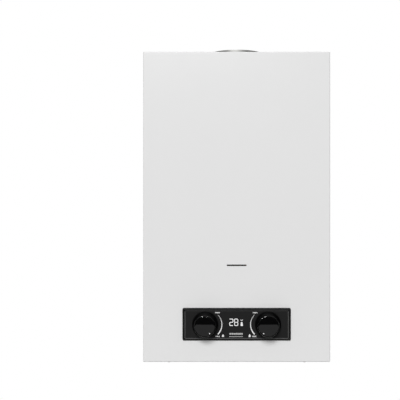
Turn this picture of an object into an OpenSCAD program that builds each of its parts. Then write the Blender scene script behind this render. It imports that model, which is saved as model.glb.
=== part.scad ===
// Wall-hung instantaneous gas water heater with an open flue.
// Lengths are in millimetres. The wall is the plane y = 0 and the front faces -Y.
// Modules are drawn with z = 0 at the bottom edge of the casing. place() then moves
// the origin to the middle of the four wall-fixing holes.

/* [Casing] */
// Width of the casing
case_w = 330; // [297:1:400]
// Height of the casing
case_h = 547; // [525:1:640]
// Depth of the casing, from the wall to the front sheet
case_d = 165; // [148:1:200]
// Thickness of the casing sheet
sheet_t = 0.8; // [0.6:0.1:1.2]
// Outside radius of the casing's bent edges
edge_r = 2; // [1.5:0.5:5]
// Width of the lip turned in at the bottom of the cover
lip_w = 14; // [9:1:15]
// Gap between the wall and the rear edge of the cover
wall_gap = 1; // [0.5:0.1:2]
// Distance of each cover screw from the middle of the casing
cover_screw_x = 120; // [100:1:140]

/* [Back and bottom plates] */
// Thickness of the back plate
back_t = 1; // [0.8:0.1:1.5]
// Depth of the back plate's side and top flanges
flange_d = 14; // [8:1:16]
// Distance across between the wall-fixing holes
fix_gap = 200; // [180:1:230]
// Distance of the wall-fixing holes from the top and bottom of the casing
fix_inset = 30; // [27:1:36]
// Diameter of the wall-fixing holes
fix_hole_d = 7; // [5:0.5:9]
// Distance across between the pressed ribs
rib_gap = 150; // [145:1:165]
// Width of a pressed rib
rib_w = 14; // [8:1:18]
// Height of a pressed rib
rib_h = 3; // [2:0.5:5]
// Height left plain above and below the ribs
rib_end = 60; // [45:1:120]
// Height of the brackets that carry the chamber
bracket_h = 30; // [20:1:50]
// Thickness of the bottom plate
plate_t = 1; // [0.8:0.1:2]
// Height of the bottom plate's rear flange
plate_flange_h = 18; // [15:0.5:22]
// Width of an air slot
air_slot_w = 4; // [3:0.5:6]
// Length of an air slot
air_slot_l = 30; // [16:1:32]
// Distance between air slots
air_slot_pitch = 12; // [9:1:20]

/* [Control panel] */
// Width of the panel
panel_w = 190.8; // [182:0.2:205]
// Height of the panel
panel_h = 57.2; // [54:0.2:64]
// Height of the panel's middle above the bottom of the casing
panel_z = 66.9; // [63:0.1:72]
// How far the panel stands proud of the casing
panel_raise = 5.5; // [4.5:0.5:8]
// Width of the bevel round the panel
panel_bevel = 3; // [2:0.5:4]
// Depth of that bevel
panel_bevel_d = 4; // [1:0.2:4.2]
// Corner radius of the panel
panel_r = 3; // [1.5:0.5:5]
// Wall of the bezel
bezel_wall = 2; // [1.5:0.1:2.5]
// Depth of the bezel behind the front sheet
bezel_skirt = 9; // [8:0.5:11]
// Thickness of the fascia
fascia_t = 2; // [1.5:0.1:2.4]
// Width of the bezel's flat rim inside the bevel
rim_w = 0.7; // [0.5:0.1:1.5]
// Depth of the fascia below that rim
rim_d = 0.3; // [0.2:0.1:0.6]
// Width of the display board
board_w = 90; // [70:1:94]
// Thickness of the display board
board_t = 1.6; // [1:0.1:2]
// Width of the display module
module_w = 42; // [30:1:50]
// Height of the display module
module_h = 20; // [14:1:26]

/* [Knobs] */
// Distance between the knobs
knob_gap = 110.2; // [106:0.2:116]
// Diameter of a knob at the panel
knob_base_d = 45.7; // [40:0.1:50]
// Diameter of a knob's face
knob_face_d = 37.4; // [30:0.1:38]
// Height of a knob
knob_h = 23; // [18:0.5:30]
// Height of the straight skirt of a knob
knob_skirt = 2.5; // [1:0.5:5]
// Rounding of a knob's front edge
knob_round = 2.4; // [1:0.1:2.5]
// Radius of the slight dome on a knob's face
knob_dome_r = 300; // [150:10:600]
// Wall of a knob
knob_wall = 2.2; // [1.5:0.1:3]
// Diameter of the hub inside a knob
knob_hub_d = 14; // [12:0.5:18]
// Gap between a knob and the fascia
knob_lift = 0.5; // [0.4:0.1:1.5]
// Diameter of a spindle
spindle_d = 8; // [6:0.5:10]
// Length of spindle held in a knob
spindle_grip = 15; // [10:0.5:16]

/* [Sight window] */
// Width of the sight slot
sight_w = 35; // [25:0.5:40]
// Height of the sight slot
sight_h = 2.7; // [2:0.1:6]
// Height of the sight slot above the bottom of the casing
sight_z = 170.5; // [167:0.5:200]
// Width of the border that the pane has round the slot
pane_edge = 6; // [4:0.5:9]
// Thickness of the pane
pane_t = 0.8; // [0.5:0.1:1.5]
// Thickness of the pane's retainer
retainer_t = 1; // [0.8:0.1:1.5]
// Width of the retainer's feet
retainer_foot = 8; // [5:0.5:12]

/* [Flue] */
// Distance from the flue collar to the front and back of the hood
flue_edge = 3; // [3:0.5:8]
// Height of the flue collar above the casing
flue_rise = 11; // [10:1:40]
// Thickness of the flue collar
flue_t = 0.8; // [0.6:0.1:1.5]
// Width of the flange at the foot of the collar
flue_flange = 2.5; // [1.5:0.1:2.8]
// Gap round the collar in the top of the cover
flue_gap = 3; // [2:0.5:6]
// Gap between the hood and the top of the cover
hood_gap = 6; // [4:0.5:12]
// Distance from the flue collar to the sides of the hood's top
hood_edge = 15; // [8:1:25]
// Height of the straight foot of the hood
hood_foot = 14; // [8:1:30]
// Height of the draught opening in the hood's front
relief_h = 22; // [10:1:40]
// Height of the baffle above the foot of the hood
baffle_z = 96; // [60:1:110]
// Width of the baffle
baffle_w = 100; // [70:1:120]
// Rise of the baffle's ridge
baffle_rise = 16; // [8:1:24]
// Diameter of the thermostats
thermostat_d = 17; // [12:0.5:20]
// Depth of the thermostats
thermostat_l = 8; // [5:0.5:10]

/* [Heat exchanger] */
// Room between the wall and the back of the chamber
rear_room = 18; // [15:0.5:24]
// Room between the front of the chamber and the front of the casing
front_room = 31; // [30.5:0.5:36]
// Width of the chamber
chamber_w = 210; // [202:1:226]
// Height of the chamber below the fins
chamber_h = 133; // [110:1:150]
// Thickness of the chamber's sheet, the hood's and the baffle's
chamber_t = 1; // [0.6:0.1:1.4]
// How far the chamber reaches below the sight slot
chamber_drop = 20.5; // [18:0.5:24]
// Height of the fins
fin_h = 52; // [42:1:64]
// Thickness of a fin
fin_t = 0.6; // [0.4:0.1:1]
// Distance between fins
fin_pitch = 7; // [5:0.5:12]
// Radius of the scallops in the fins' lower edge
scallop_r = 6; // [3:0.5:8]
// Number of tubes through the fins, an odd number
tube_n = 5; // [3:2:5]
// Distance from the front and back of the chamber to the nearest tube's axis
tube_edge = 14; // [10:0.5:16]
// Outside diameter of the water tubes
tube_d = 14; // [12:0.5:15]
// Wall of the water tubes
tube_wall = 1; // [0.6:0.1:1.5]
// Length of tube outside the chamber
tube_stub = 8; // [6:0.5:12]
// Radius of the bends in the pipes
bend_r = 15; // [13:0.5:16]

/* [Burner] */
// Number of burner bars
bar_n = 10; // [6:1:11]
// Distance between burner bars
bar_pitch = 20; // [17:0.5:20]
// Width of a burner bar's head
bar_w = 12; // [9:0.5:14]
// Height of a burner bar
bar_h = 30; // [27:0.5:33]
// Diameter of a burner bar's mixing tube
venturi_d = 13; // [10:0.5:15]
// Bore of the mixing tube
venturi_bore = 10; // [7:0.5:10]
// Thickness of a burner bar's sheet
bar_t = 1.2; // [0.8:0.1:1.4]
// Number of flame slots along a bar
port_n = 14; // [8:1:20]
// Width of a flame slot
port_w = 1.6; // [1:0.1:2.5]
// Depth of a flame slot
port_d = 4; // [2:0.5:5]
// How far the bars stand up into the chamber
bar_rise = 8; // [4:0.5:12]
// Thickness of the burner frame
frame_t = 1.2; // [0.8:0.1:2]
// Side of the square gas manifold
manifold_s = 12; // [9:0.5:14]
// Gap between the manifold and the burner frame
manifold_gap = 10; // [8:0.5:12]
// Diameter of an injector
injector_d = 7; // [5:0.5:8]
// Diameter of the gas feed pipe
feed_d = 12; // [9:0.5:12]
// Bend radius of the gas feed pipe
feed_r = 12; // [9.5:0.5:12.5]

/* [Electrodes] */
// Distance of the two spark electrodes from the middle
spark_x = [50, 36];
// Distance of the flame sensor from the middle
sensor_x = 45; // [35:1:60]
// Diameter of an insulator
insulator_d = 7; // [5:0.5:8]
// Diameter of an electrode rod
electrode_d = 2.4; // [1.6:0.2:3]
// Height of the electrode tips above the burner bars
tip_gap = 4; // [2:0.5:7]
// Height of the electrodes above their tips
tip_drop = 8; // [6:0.5:10]
// Length of an insulator
insulator_l = 24; // [20:0.5:28]
// Length of an insulator in front of the chamber
insulator_out = 16; // [12:0.5:18]
// Length of rod that stands out of an insulator
rod_out = 4; // [3:0.5:5]
// Reach of a rod into the chamber
rod_reach = 26; // [18:1:32]

/* [Valves] */
// Distance from the front of the casing to the valves' common axis
valve_room = 91; // [89:0.5:94]
// Room between the wall and the body of the magnet valve
solenoid_room = 24; // [20:0.5:26]
// Diameter of the gas valve's barrel
gas_d = 40; // [34:1:44]
// Length of the gas valve's barrel
gas_l = 65; // [58:1:68]
// Distance from the gas spindle to the end of the barrel at the bridge
gas_reach = 30; // [26:1:33]
// Diameter of the water valve's barrel
water_d = 50; // [44:1:54]
// Length of the water valve's barrel
water_l = 28; // [27:1:31]
// Diameter of the diaphragm flanges
diaphragm_d = 68; // [64:1:76]
// Thickness of the diaphragm
diaphragm_t = 1.5; // [1:0.1:2.5]
// Thickness of the flanges that clamp the diaphragm
clamp_t = 6; // [5:0.5:7]
// Depth of the diaphragm cover's dome
dome_l = 7; // [5:0.5:9]
// Number of diaphragm screws
clamp_n = 6; // [4:1:8]
// Length of the spindle glands
gland_l = 42; // [36:1:46]
// Diameter of the spindle glands
gland_d = 18; // [15:0.5:20]
// Diameter of the push rod
rod_d = 6; // [4:0.5:8]
// Travel of the push rod
rod_travel = 4; // [2:0.5:5]
// Diameter of the collar on the push rod
collar_d = 16; // [14:0.5:17]
// Length of the collar on the push rod
collar_l = 3; // [2:0.5:5]
// Length of the rod glands
rod_gland = 8; // [5:0.5:9]
// Thickness of the bridge
bridge_t = 2; // [1.5:0.1:3]
// Width of the bridge
bridge_w = 36; // [34:1:44]
// Height of the push rod above the bridge
bridge_drop = 22; // [21.5:0.5:25]

/* [Connections] */
// Outside diameter of the half-inch pipe thread
thread_d = 20.955; // [20.955]
// Length of thread below the casing
thread_l = 15; // [12:1:25]
// Diameter of a connection above its thread
leg_d = 25; // [23:0.5:28]
// Bore of a connection
leg_bore = 13; // [10:0.5:15]
// Outside diameter of a union's thread
union_d = 18; // [17:0.5:20]
// Length of a union's thread
union_l = 13; // [12:0.5:16]
// Width across the flats of a union nut
nut_af = 24; // [23:0.5:27]
// Thickness of a union seal
seal_t = 1.5; // [1:0.1:2]

/* [Electrics] */
// Diameter of a battery cell
cell_d = 33.5; // [32:0.5:34]
// Length of a battery cell
cell_l = 61.5; // [58:0.5:62]
// Wall of the battery box
box_wall = 2; // [1.5:0.1:2.5]
// Thickness of the battery lid
lid_t = 2; // [1.5:0.1:2.5]
// Diameter of the lid's hinge pins
pin_d = 2; // [1.5:0.1:2.4]
// Wall of the lid's hinge barrel
barrel_wall = 0.7; // [0.5:0.1:1]
// Length of the battery box's ears
ear_l = 12; // [9:0.5:14]
// Room for a contact at each end of the cells
contact_l = 5; // [4:0.5:7]
// Room between the control box and the side of the casing
control_side = 17; // [12:0.5:22]
// Room between the control box and its neighbours
control_gap = 8; // [5:0.5:10]
// Depth of the control box
control_d = 60; // [50:1:64]
// Height of the control box
control_h = 88; // [70:1:96]
// Thickness of the control box's lid
control_lid = 4; // [3:0.5:6]
// Diameter of an ignition lead
lead_d = 4; // [3:0.5:5]
// Room between the leads and the side of the chamber
lead_clear = 19; // [14:0.5:22]

/* [Fits] */
// Gap between pieces that stand clear of each other
fit = 0.3; // [0.2:0.05:0.5]
// Radial gap of a part that turns or slides in a bore
run_fit = 0.05; // [0.03:0.01:0.08]
// Diameter of the screws
screw_d = 4; // [3:0.5:4.5]

/* [Hidden] */
$fn = 64;

// Far enough to cut right through a sheet
cut = 1;
// Depth by which shapes that meet on a curve are merged
merge = 0.01;
hex_k = 1 / cos(30);
screw_head_d = screw_d * 1.6;
screw_head_h = screw_d * 0.38;
screw_hole_d = screw_d + 2 * run_fit;

// Casing
inner_x = case_w / 2 - sheet_t - fit;
front_y = -case_d;
sheet_y = front_y + sheet_t;
plate_z = sheet_t + plate_t;
plate_x = case_w / 2 - edge_r - fit;
plate_y = front_y + edge_r + fit;
cover_screw_y = front_y + (edge_r + lip_w) / 2 + fit;
plate_screw_x = rib_gap / 2 + rib_w;
plate_screw_z = plate_z + (plate_flange_h - plate_z) / 2 + 1;

// Chamber, burner and flue
chamber_d = case_d - rear_room - front_room;
core_y = rear_room + chamber_d / 2;
flue_d = chamber_d - 2 * flue_edge;
hood_top_w = flue_d + 2 * hood_edge;
tube_pitch = (chamber_d - 2 * tube_edge) / (tube_n - 1);
chamber_z = sight_z - chamber_drop;
chamber_back = -core_y + chamber_d / 2;
chamber_front = -core_y - chamber_d / 2;
fin_z = chamber_z + chamber_h;
hood_z = fin_z + fin_h;
hood_top = case_h - sheet_t - hood_gap;
tube_z = fin_z + fin_h / 2 + 4;
tube_end = chamber_w / 2 + tube_stub;
tube_first = -core_y - tube_pitch * (tube_n - 1) / 2;
tube_last = -core_y + tube_pitch * (tube_n - 1) / 2;
riser_x = tube_end + bend_r;
fin_n = floor((chamber_w - 2 * chamber_t - fin_pitch) / fin_pitch);
bar_top = chamber_z + bar_rise;
bar_foot = bar_top - bar_h;
frame_x = chamber_w / 2 - chamber_t - fit;
frame_half = chamber_d / 2 - chamber_t - fit;
bar_half = frame_half - frame_t;
venturi_z = bar_foot + venturi_d / 2;
manifold_y = -core_y - frame_half - manifold_gap;
electrode_z = bar_top + tip_gap + tip_drop;
electrode_t = frame_t;
terminal_y = chamber_front - insulator_out - rod_out;

// Valves, from left to right along their common axis
valve_y = case_d - valve_room;
knob_x = knob_gap / 2;
valve_z = panel_z;
gas_right = gas_reach - knob_x;
gas_left = gas_right - gas_l;
gas_leg_x = -knob_x - 12;
gas_top = valve_z + gas_d / 2 + 4;
body_left = knob_x - gland_d / 2 - 1;
cover_right = body_left - diaphragm_t;
cover_flange = cover_right - clamp_t + 1;
cover_left = cover_flange - dome_l;
body_right = body_left + clamp_t + water_l;
water_leg_x = body_right - leg_d / 2 - 1;
union_end = body_right + union_l;
gland_end = -valve_y - gland_l;
bore_end = -valve_y - 12;
bridge_z = valve_z - bridge_drop;
collar_left = (gas_right + cover_left) / 2 + 3;
clamp_circle = diaphragm_d / 2 - screw_head_d / 2 - 1;
drain_z = valve_z - 43;
drain_y = -valve_y - 18;

// Switch lever: its tip stays just ahead of the collar on the push rod
tip_r = 2;
lever_rise = 18;
lever_lean = 4;
tip_x = collar_left - fit - tip_r;
pivot_x = tip_x - lever_lean;
pivot_z = valve_z - lever_rise;
pivot_d = 2.4;
switch_w = 10;
switch_front = -valve_y - switch_w / 2;
lever_w = 4;

// Control panel
panel_front = front_y - panel_raise;
fascia_front = panel_front + rim_d;
fascia_back = fascia_front + fascia_t;
fascia_w = panel_w - 2 * (panel_bevel + rim_w + fit);
fascia_h = panel_h - 2 * (panel_bevel + rim_w + fit);
skirt_w = fascia_w - 4;
skirt_h = fascia_h - 4;
skirt_back = front_y + bezel_skirt;
board_front = skirt_back - board_t - 2;
knob_back = fascia_front - knob_lift;
spindle_end = knob_back - spindle_grip;

// Hot outlet
hot_x = -riser_x;
hot_hex_h = 8;
hot_end = plate_z + hot_hex_h + union_l;

// Battery box
box_in_l = 2 * cell_l + 2 * contact_l;
box_in_w = cell_d + 4 * fit;
box_front = front_y + lip_w + 2;
box_back = box_front + box_in_w + 2 * box_wall;
box_top = sheet_t + lid_t + box_in_w + box_wall;
cell_y = (box_front + box_back) / 2;
cell_z = sheet_t + lid_t + fit + cell_d / 2;
ear_x = (box_in_l + ear_l) / 2 + box_wall;
hinge_r = pin_d / 2 + barrel_wall;
hinge_y = box_back - box_wall - fit - hinge_r;
hinge_z = sheet_t + hinge_r;

// Control box
control_x = -case_w / 2 + control_side;
control_w = gas_left - control_gap - control_x;
control_y = tube_last - (leg_d / 2 + 2) * hex_k - control_gap - control_d;
control_wall = 2;

// Ignition leads: from the control box, past the chamber's left edge, to the spark electrodes
lead_x = control_x + control_w / 2;
lead_y = control_y + control_d / 2;
lead_top = plate_z + control_h + control_lid;
lead_side = -chamber_w / 2;
lead_out = chamber_front - 1.4 * lead_clear;
lead_routes = [for (i = [0, 1]) [
    [lead_x, lead_y + i * 0.7 * lead_clear, lead_top],
    [lead_x, lead_y + i * 0.7 * lead_clear, lead_top + (0.95 + 0.2 * i) * lead_clear],
    [lead_side - lead_clear, lead_y + (0.7 * i - 0.3) * lead_clear,
     electrode_z - (2.2 - 0.4 * i) * lead_clear],
    [lead_side - 0.9 * lead_clear, lead_y + (0.7 * i - 1) * lead_clear,
     electrode_z - (1.3 - 0.6 * i) * lead_clear],
    [lead_side - 0.7 * lead_clear, chamber_front + (0.5 + 0.45 * i) * lead_clear,
     electrode_z - (0.65 - 0.75 * i) * lead_clear],
    [lead_side - 0.3 * lead_clear, chamber_front - (0.4 - 0.2 * i) * lead_clear,
     electrode_z - (0.2 - 0.85 * i) * lead_clear],
    [lead_side + 0.3 * lead_clear, chamber_front - lead_clear, electrode_z + (0.05 + 0.9 * i) * lead_clear],
    [lead_side + (1 + 0.2 * i) * lead_clear, lead_out, electrode_z + (0.1 + 0.85 * i) * lead_clear],
    [-spark_x[i] - (1.05 + 0.3 * i) * lead_clear, lead_out, electrode_z + (0.05 + 0.8 * i) * lead_clear],
    [-spark_x[i] - (0.4 + 0.2 * i) * lead_clear, lead_out, electrode_z + 0.5 * i * lead_clear],
    [-spark_x[i] - 0.08 * (1 + i) * lead_clear, lead_out, electrode_z + 0.08 * i * lead_clear],
    [-spark_x[i], lead_out + 0.15 * lead_clear, electrode_z],
    [-spark_x[i], terminal_y, electrode_z]
]];

// Moves a piece from the casing's bottom edge to the middle of the wall-fixing holes
module place() {
    translate([0, 0, -case_h / 2]) children();
}

// Block between two opposite corners
module block(low, high) {
    translate(low) cube(high - low);
}

// Round bars along each axis, between two stations
module rod_x(d, x0, x1, y, z) {
    translate([x0, y, z]) rotate([0, 90, 0]) cylinder(d = d, h = x1 - x0);
}

module rod_y(d, y0, y1, x, z) {
    translate([x, y0, z]) rotate([-90, 0, 0]) cylinder(d = d, h = y1 - y0);
}

module rod_z(d, z0, z1, x, y) {
    translate([x, y, z0]) cylinder(d = d, h = z1 - z0);
}

// Hexagon bar of a given width across the flats, standing on z = 0
module hex_bar(af, h) {
    cylinder(d = af * hex_k, h = h, $fn = 6);
}

// Rectangle with round corners, centred
module round_rect(w, h, r) {
    square([w - 2 * r, h], center = true);
    square([w, h - 2 * r], center = true);
    for (x = [-1, 1], y = [-1, 1])
        translate([x * (w / 2 - r), y * (h / 2 - r)]) circle(r);
}

// Slot with round ends along its first axis, centred
module slot(l, w) {
    square([l - w, w], center = true);
    for (x = [-1, 1])
        translate([x * (l - w) / 2, 0]) circle(d = w);
}

// Strip of a given width and depth, open at zero, whose far corners are round
module tray_profile(w, d, r) {
    translate([-w / 2, -d + r]) square([w, d - r]);
    translate([-w / 2 + r, -d]) square([w - 2 * r, d]);
    for (x = [-1, 1])
        translate([x * (w / 2 - r), -d + r]) circle(r);
}

// Draws a profile given across and up, pushed forward from the plane y = back
module forward(back, depth) {
    translate([0, back, 0]) rotate([90, 0, 0]) linear_extrude(depth) children();
}

// Draws a profile given in depth and height, pushed across, centred
module across(width) {
    rotate([90, 0, 90]) linear_extrude(width, center = true) children();
}

// A unit vector square to one that lies along an axis
function beside(u) = [u[2], u[0], u[1]];

// Turns z onto one axis and x onto another, then moves to a point
module aim(e1, e2, e3, p) {
    multmatrix([
        [e1[0], e2[0], e3[0], p[0]],
        [e1[1], e2[1], e3[1], p[1]],
        [e1[2], e2[2], e3[2], p[2]],
        [0, 0, 0, 1]
    ]) children();
}

// Round run along corner points whose legs lie along the axes, with bends of radius r
module pipe_run(points, d, r) {
    last = len(points) - 1;
    way = [for (i = [0 : last - 1]) (points[i + 1] - points[i]) / norm(points[i + 1] - points[i])];
    for (i = [0 : last - 1]) {
        from = points[i] + (i > 0 ? r : 0) * way[i];
        to = points[i + 1] - (i < last - 1 ? r : 0) * way[i];
        aim(beside(way[i]), cross(way[i], beside(way[i])), way[i], from)
            cylinder(d = d, h = norm(to - from));
    }
    for (i = [1 : last - 1])
        aim(-way[i], way[i - 1], cross(way[i - 1], way[i]), points[i] - r * way[i - 1] + r * way[i])
            rotate_extrude(angle = 90) translate([r, 0]) circle(d = d);
}

// Hollow pipe along corner points
module pipe(points, d, wall, r) {
    difference() {
        pipe_run(points, d, r);
        pipe_run(points, d - 2 * wall, r);
    }
}

// Tube swept along free points, for the leads
function unit(v) = v / norm(v);
function lead_way(p, i) = unit(p[min(i + 1, len(p) - 1)] - p[max(i - 1, 0)]);
module lead(p, d, sides = 8) {
    n = len(p);
    rings = [for (i = [0 : n - 1])
        let (t = lead_way(p, i), a = unit(cross(t, [-0.6, 0.5, 0.6])), b = cross(t, a))
        for (k = [0 : sides - 1])
            p[i] + d / 2 * (cos(360 * k / sides) * a + sin(360 * k / sides) * b)];
    walls = [for (i = [0 : n - 2], k = [0 : sides - 1])
        let (q = (k + 1) % sides)
        each [[i * sides + k, i * sides + q, (i + 1) * sides + q],
              [i * sides + k, (i + 1) * sides + q, (i + 1) * sides + k]]];
    caps = [
        [for (k = [sides - 1 : -1 : 0]) k],
        [for (k = [0 : sides - 1]) (n - 1) * sides + k]
    ];
    polyhedron(rings, concat(walls, caps));
}

// Pan-head screw with its head below z = 0 and its shank upwards
module screw(l) {
    cylinder(d = screw_d, h = l);
    translate([0, 0, -screw_head_h]) cylinder(d = screw_head_d, h = screw_head_h);
}

// Solid with the casing's outline, drawn in by a given amount, open to the wall
module case_form(inset) {
    w = case_w - 2 * inset;
    h = case_h - 2 * inset;
    d = case_d - inset;
    r = edge_r - inset;
    intersection() {
        translate([0, 0, inset]) linear_extrude(h) tray_profile(w, d, r);
        forward(0, d) translate([0, case_h / 2]) round_rect(w, h, r);
        translate([0, 0, case_h / 2]) across(w) rotate(-90) tray_profile(h, d, r);
    }
}

// Places of the cover screws and of the bottom plate's screws
module at_cover_screws() {
    for (x = [-1, 1])
        translate([x * cover_screw_x, cover_screw_y, 0]) children();
}

module at_plate_screws() {
    for (x = [-1, 1])
        translate([x * plate_screw_x, -back_t - plate_t, plate_screw_z]) rotate([-90, 0, 0]) children();
}

// Sheet back of the heater, with flanges inside the cover and four holes for the wall
module back_plate() {
    flange_h = case_h - 2 * (edge_r + fit);
    top = case_h - sheet_t - fit;
    rib_l = case_h - 2 * rib_end;
    color("silver")
    difference() {
        union() {
            forward(0, back_t) translate([0, case_h / 2])
                round_rect(2 * inner_x, case_h - 2 * (sheet_t + fit), edge_r - sheet_t - fit);
            for (x = [-1, 1])
                translate([x * (inner_x - back_t / 2) - back_t / 2, -flange_d, edge_r + fit])
                    cube([back_t, flange_d, flange_h]);
            block([-fix_gap * 0.7, -flange_d, top - back_t], [fix_gap * 0.7, 0, top]);
            for (x = [-1, 1])
                forward(0, back_t + rib_h) translate([x * rib_gap / 2, case_h / 2])
                    rotate(90) slot(rib_l, rib_w);
        }
        for (x = [-1, 1])
            forward(cut, rib_h + cut) translate([x * rib_gap / 2, case_h / 2])
                rotate(90) slot(rib_l - 2 * back_t, rib_w - 2 * back_t);
        for (x = [-1, 1], z = [fix_inset, case_h - fix_inset])
            rod_y(fix_hole_d, -back_t - cut, cut, x * fix_gap / 2, z);
        at_plate_screws() cylinder(d = screw_hole_d, h = back_t + plate_t + cut);
    }
}

// Bottom of the chassis: pipe holes, battery opening and air slots
module bottom_plate() {
    slot_y = -back_t - plate_t - 10 - air_slot_l / 2;
    slot_x0 = gas_leg_x - leg_d / 2;
    slot_n = floor((water_leg_x + leg_d - slot_x0) / air_slot_pitch);
    color("silver")
    difference() {
        union() {
            block([-plate_x, plate_y, sheet_t], [plate_x, -back_t, plate_z]);
            block([-plate_x + ear_l, -back_t - plate_t, sheet_t], [plate_x - ear_l, -back_t, plate_flange_h]);
        }
        for (p = [[gas_leg_x, -valve_y], [water_leg_x, -valve_y], [hot_x, tube_last]])
            rod_z(leg_d + 2 * fit, sheet_t - cut, plate_z + cut, p[0], p[1]);
        block([-box_in_l / 2 - box_wall - fit, box_front - fit, sheet_t - cut],
              [box_in_l / 2 + box_wall + fit, box_back + fit, plate_z + cut]);
        for (i = [0 : slot_n])
            translate([slot_x0 + i * air_slot_pitch, slot_y, sheet_t - cut])
                linear_extrude(plate_t + 2 * cut) rotate(90) slot(air_slot_l, air_slot_w);
        at_cover_screws() cylinder(d = screw_hole_d, h = plate_z + cut);
        at_plate_screws() cylinder(d = screw_hole_d, h = back_t + plate_t + cut);
        for (x = [-1, 1])
            rod_z(screw_hole_d, sheet_t - cut, plate_z + cut, x * ear_x, cell_y);
    }
}

// White sheet cover: front, sides, top with the flue cut-out, and a lip at the bottom
module front_cover() {
    slot_d = flue_d + 2 * flue_gap;
    open_w = skirt_w + 2 * fit;
    open_h = skirt_h + 2 * fit;
    color("white")
    difference() {
        case_form(0);
        case_form(sheet_t);
        block([-case_w, -wall_gap, -cut], [case_w, cut, case_h + cut]);
        block([-case_w / 2 + lip_w, front_y + lip_w, -cut], [case_w / 2 - lip_w, cut, sheet_t + cut]);
        rod_z(slot_d, case_h - edge_r, case_h + cut, 0, -core_y);
        block([-slot_d / 2, -core_y, case_h - edge_r], [slot_d / 2, cut, case_h + cut]);
        block([-open_w / 2, front_y - cut, panel_z - open_h / 2],
              [open_w / 2, sheet_y + cut, panel_z + open_h / 2]);
        forward(sheet_y + cut, sheet_t + 2 * cut) translate([0, sight_z]) slot(sight_w, sight_h);
        at_cover_screws() translate([0, 0, -cut]) cylinder(d = screw_hole_d, h = sheet_t + 2 * cut);
    }
}

// Two screws up through the lip of the cover into the bottom plate
module cover_screws() {
    color("gray") at_cover_screws() screw(plate_z + 5);
}

// Screws that hold the bottom plate to the back plate, and the battery box to the bottom plate
module chassis_screws() {
    color("gray") {
        at_plate_screws() screw(plate_t + back_t - run_fit);
        for (x = [-1, 1])
            translate([x * ear_x, cell_y, plate_z + box_wall])
                mirror([0, 0, 1]) screw(box_wall + plate_t + 2);
    }
}

// Clear pane behind the sight slot
module sight_glass() {
    color("lightblue", 0.5) forward(sheet_y + pane_t, pane_t) translate([0, sight_z])
        round_rect(sight_w + 2 * pane_edge, sight_h + 2 * pane_edge, 2);
}

// Frame whose feet stand on the cover and hold the pane
module sight_retainer() {
    w = sight_w + 2 * pane_edge + 2 * fit;
    h = sight_h + 2 * pane_edge;
    color("silver")
    difference() {
        forward(sheet_y + pane_t + retainer_t, pane_t + retainer_t) translate([0, sight_z])
            round_rect(w + 2 * retainer_foot, h, 2);
        forward(sheet_y + pane_t, pane_t + cut) translate([0, sight_z]) square([w, h + cut], center = true);
        forward(sheet_y + pane_t + retainer_t + cut, 2 * retainer_t + 2 * cut) translate([0, sight_z])
            slot(sight_w + sight_h, 2 * sight_h);
    }
}

// Two channels that carry the chamber on the back plate
module chamber_brackets() {
    gap = rib_gap / 2 - rib_w;
    h = bracket_h / 2;
    z = chamber_z + chamber_h / 2;
    color("silver")
    for (x = [-1, 1])
        translate([x * gap / 1.6, 0, z])
            difference() {
                block([-gap / 4, chamber_back, -h], [gap / 4, -back_t, h]);
                block([-gap / 4 + back_t, chamber_back + back_t, -h - cut],
                      [gap / 4 - back_t, -2 * back_t, h + cut]);
                block([-gap / 4 + 3 * back_t, -3 * back_t, -h - cut], [gap / 4 - 3 * back_t, cut, h + cut]);
            }
}

// Copper jacket round the flame, with holes for the tubes, the sight line and the electrodes
module combustion_chamber() {
    w = chamber_w;
    color("peru")
    difference() {
        block([-w / 2, chamber_front, chamber_z], [w / 2, chamber_back, hood_z]);
        block([-w / 2 + chamber_t, chamber_front + chamber_t, chamber_z - cut],
              [w / 2 - chamber_t, chamber_back - chamber_t, hood_z + cut]);
        for (i = [0 : tube_n - 1])
            rod_x(tube_d + 2 * fit, -w, w, tube_first + i * tube_pitch, tube_z);
        forward(chamber_front + 2 * chamber_t, 3 * chamber_t) translate([0, sight_z])
            slot(sight_w, 3 * sight_h);
        at_electrodes() translate([0, 0, -3 * chamber_t])
            cylinder(d = insulator_d + 2 * fit, h = 5 * chamber_t);
    }
}

// Thin fins pressed on the tubes, scalloped towards the flame
module exchanger_fins() {
    d = chamber_d - 2 * chamber_t - 2 * fit;
    color("peru")
    for (i = [0 : fin_n - 1])
        translate([(i - (fin_n - 1) / 2) * fin_pitch, 0, 0])
            across(fin_t) difference() {
                translate([-core_y - d / 2, fin_z]) square([d, fin_h - fit]);
                for (k = [0 : tube_n - 1])
                    translate([tube_first + k * tube_pitch, tube_z]) circle(d = tube_d + 2 * run_fit);
                for (k = [0 : tube_n])
                    translate([tube_first + (k - 0.5) * tube_pitch, fin_z]) circle(scallop_r);
            }
}

// Straight water tubes through the fins
module exchanger_tubes() {
    color("peru")
    for (i = [0 : tube_n - 1])
        translate([0, tube_first + i * tube_pitch, tube_z])
            difference() {
                rod_x(tube_d, -tube_end, tube_end, 0, 0);
                rod_x(tube_d - 2 * tube_wall, -tube_end - cut, tube_end + cut, 0, 0);
            }
}

// Return bends that join the tubes into one winding path
module return_bends() {
    color("peru")
    for (i = [0 : tube_n - 2])
        translate([(i % 2 == 0 ? -1 : 1) * tube_end, tube_first + (i + 0.5) * tube_pitch, tube_z])
            rotate(i % 2 == 0 ? 90 : -90)
                rotate_extrude(angle = 180) translate([tube_pitch / 2, 0]) difference() {
                    circle(d = tube_d);
                    circle(d = tube_d - 2 * tube_wall);
                }
}

// Outline of the draught hood, seen from the front
module hood_outline(inset) {
    foot = hood_z + hood_foot;
    polygon([
        [-chamber_w / 2 + inset, hood_z - inset], [chamber_w / 2 - inset, hood_z - inset],
        [chamber_w / 2 - inset, foot], [hood_top_w / 2 - inset, hood_top - inset],
        [-hood_top_w / 2 + inset, hood_top - inset], [-chamber_w / 2 + inset, foot]
    ]);
}

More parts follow.
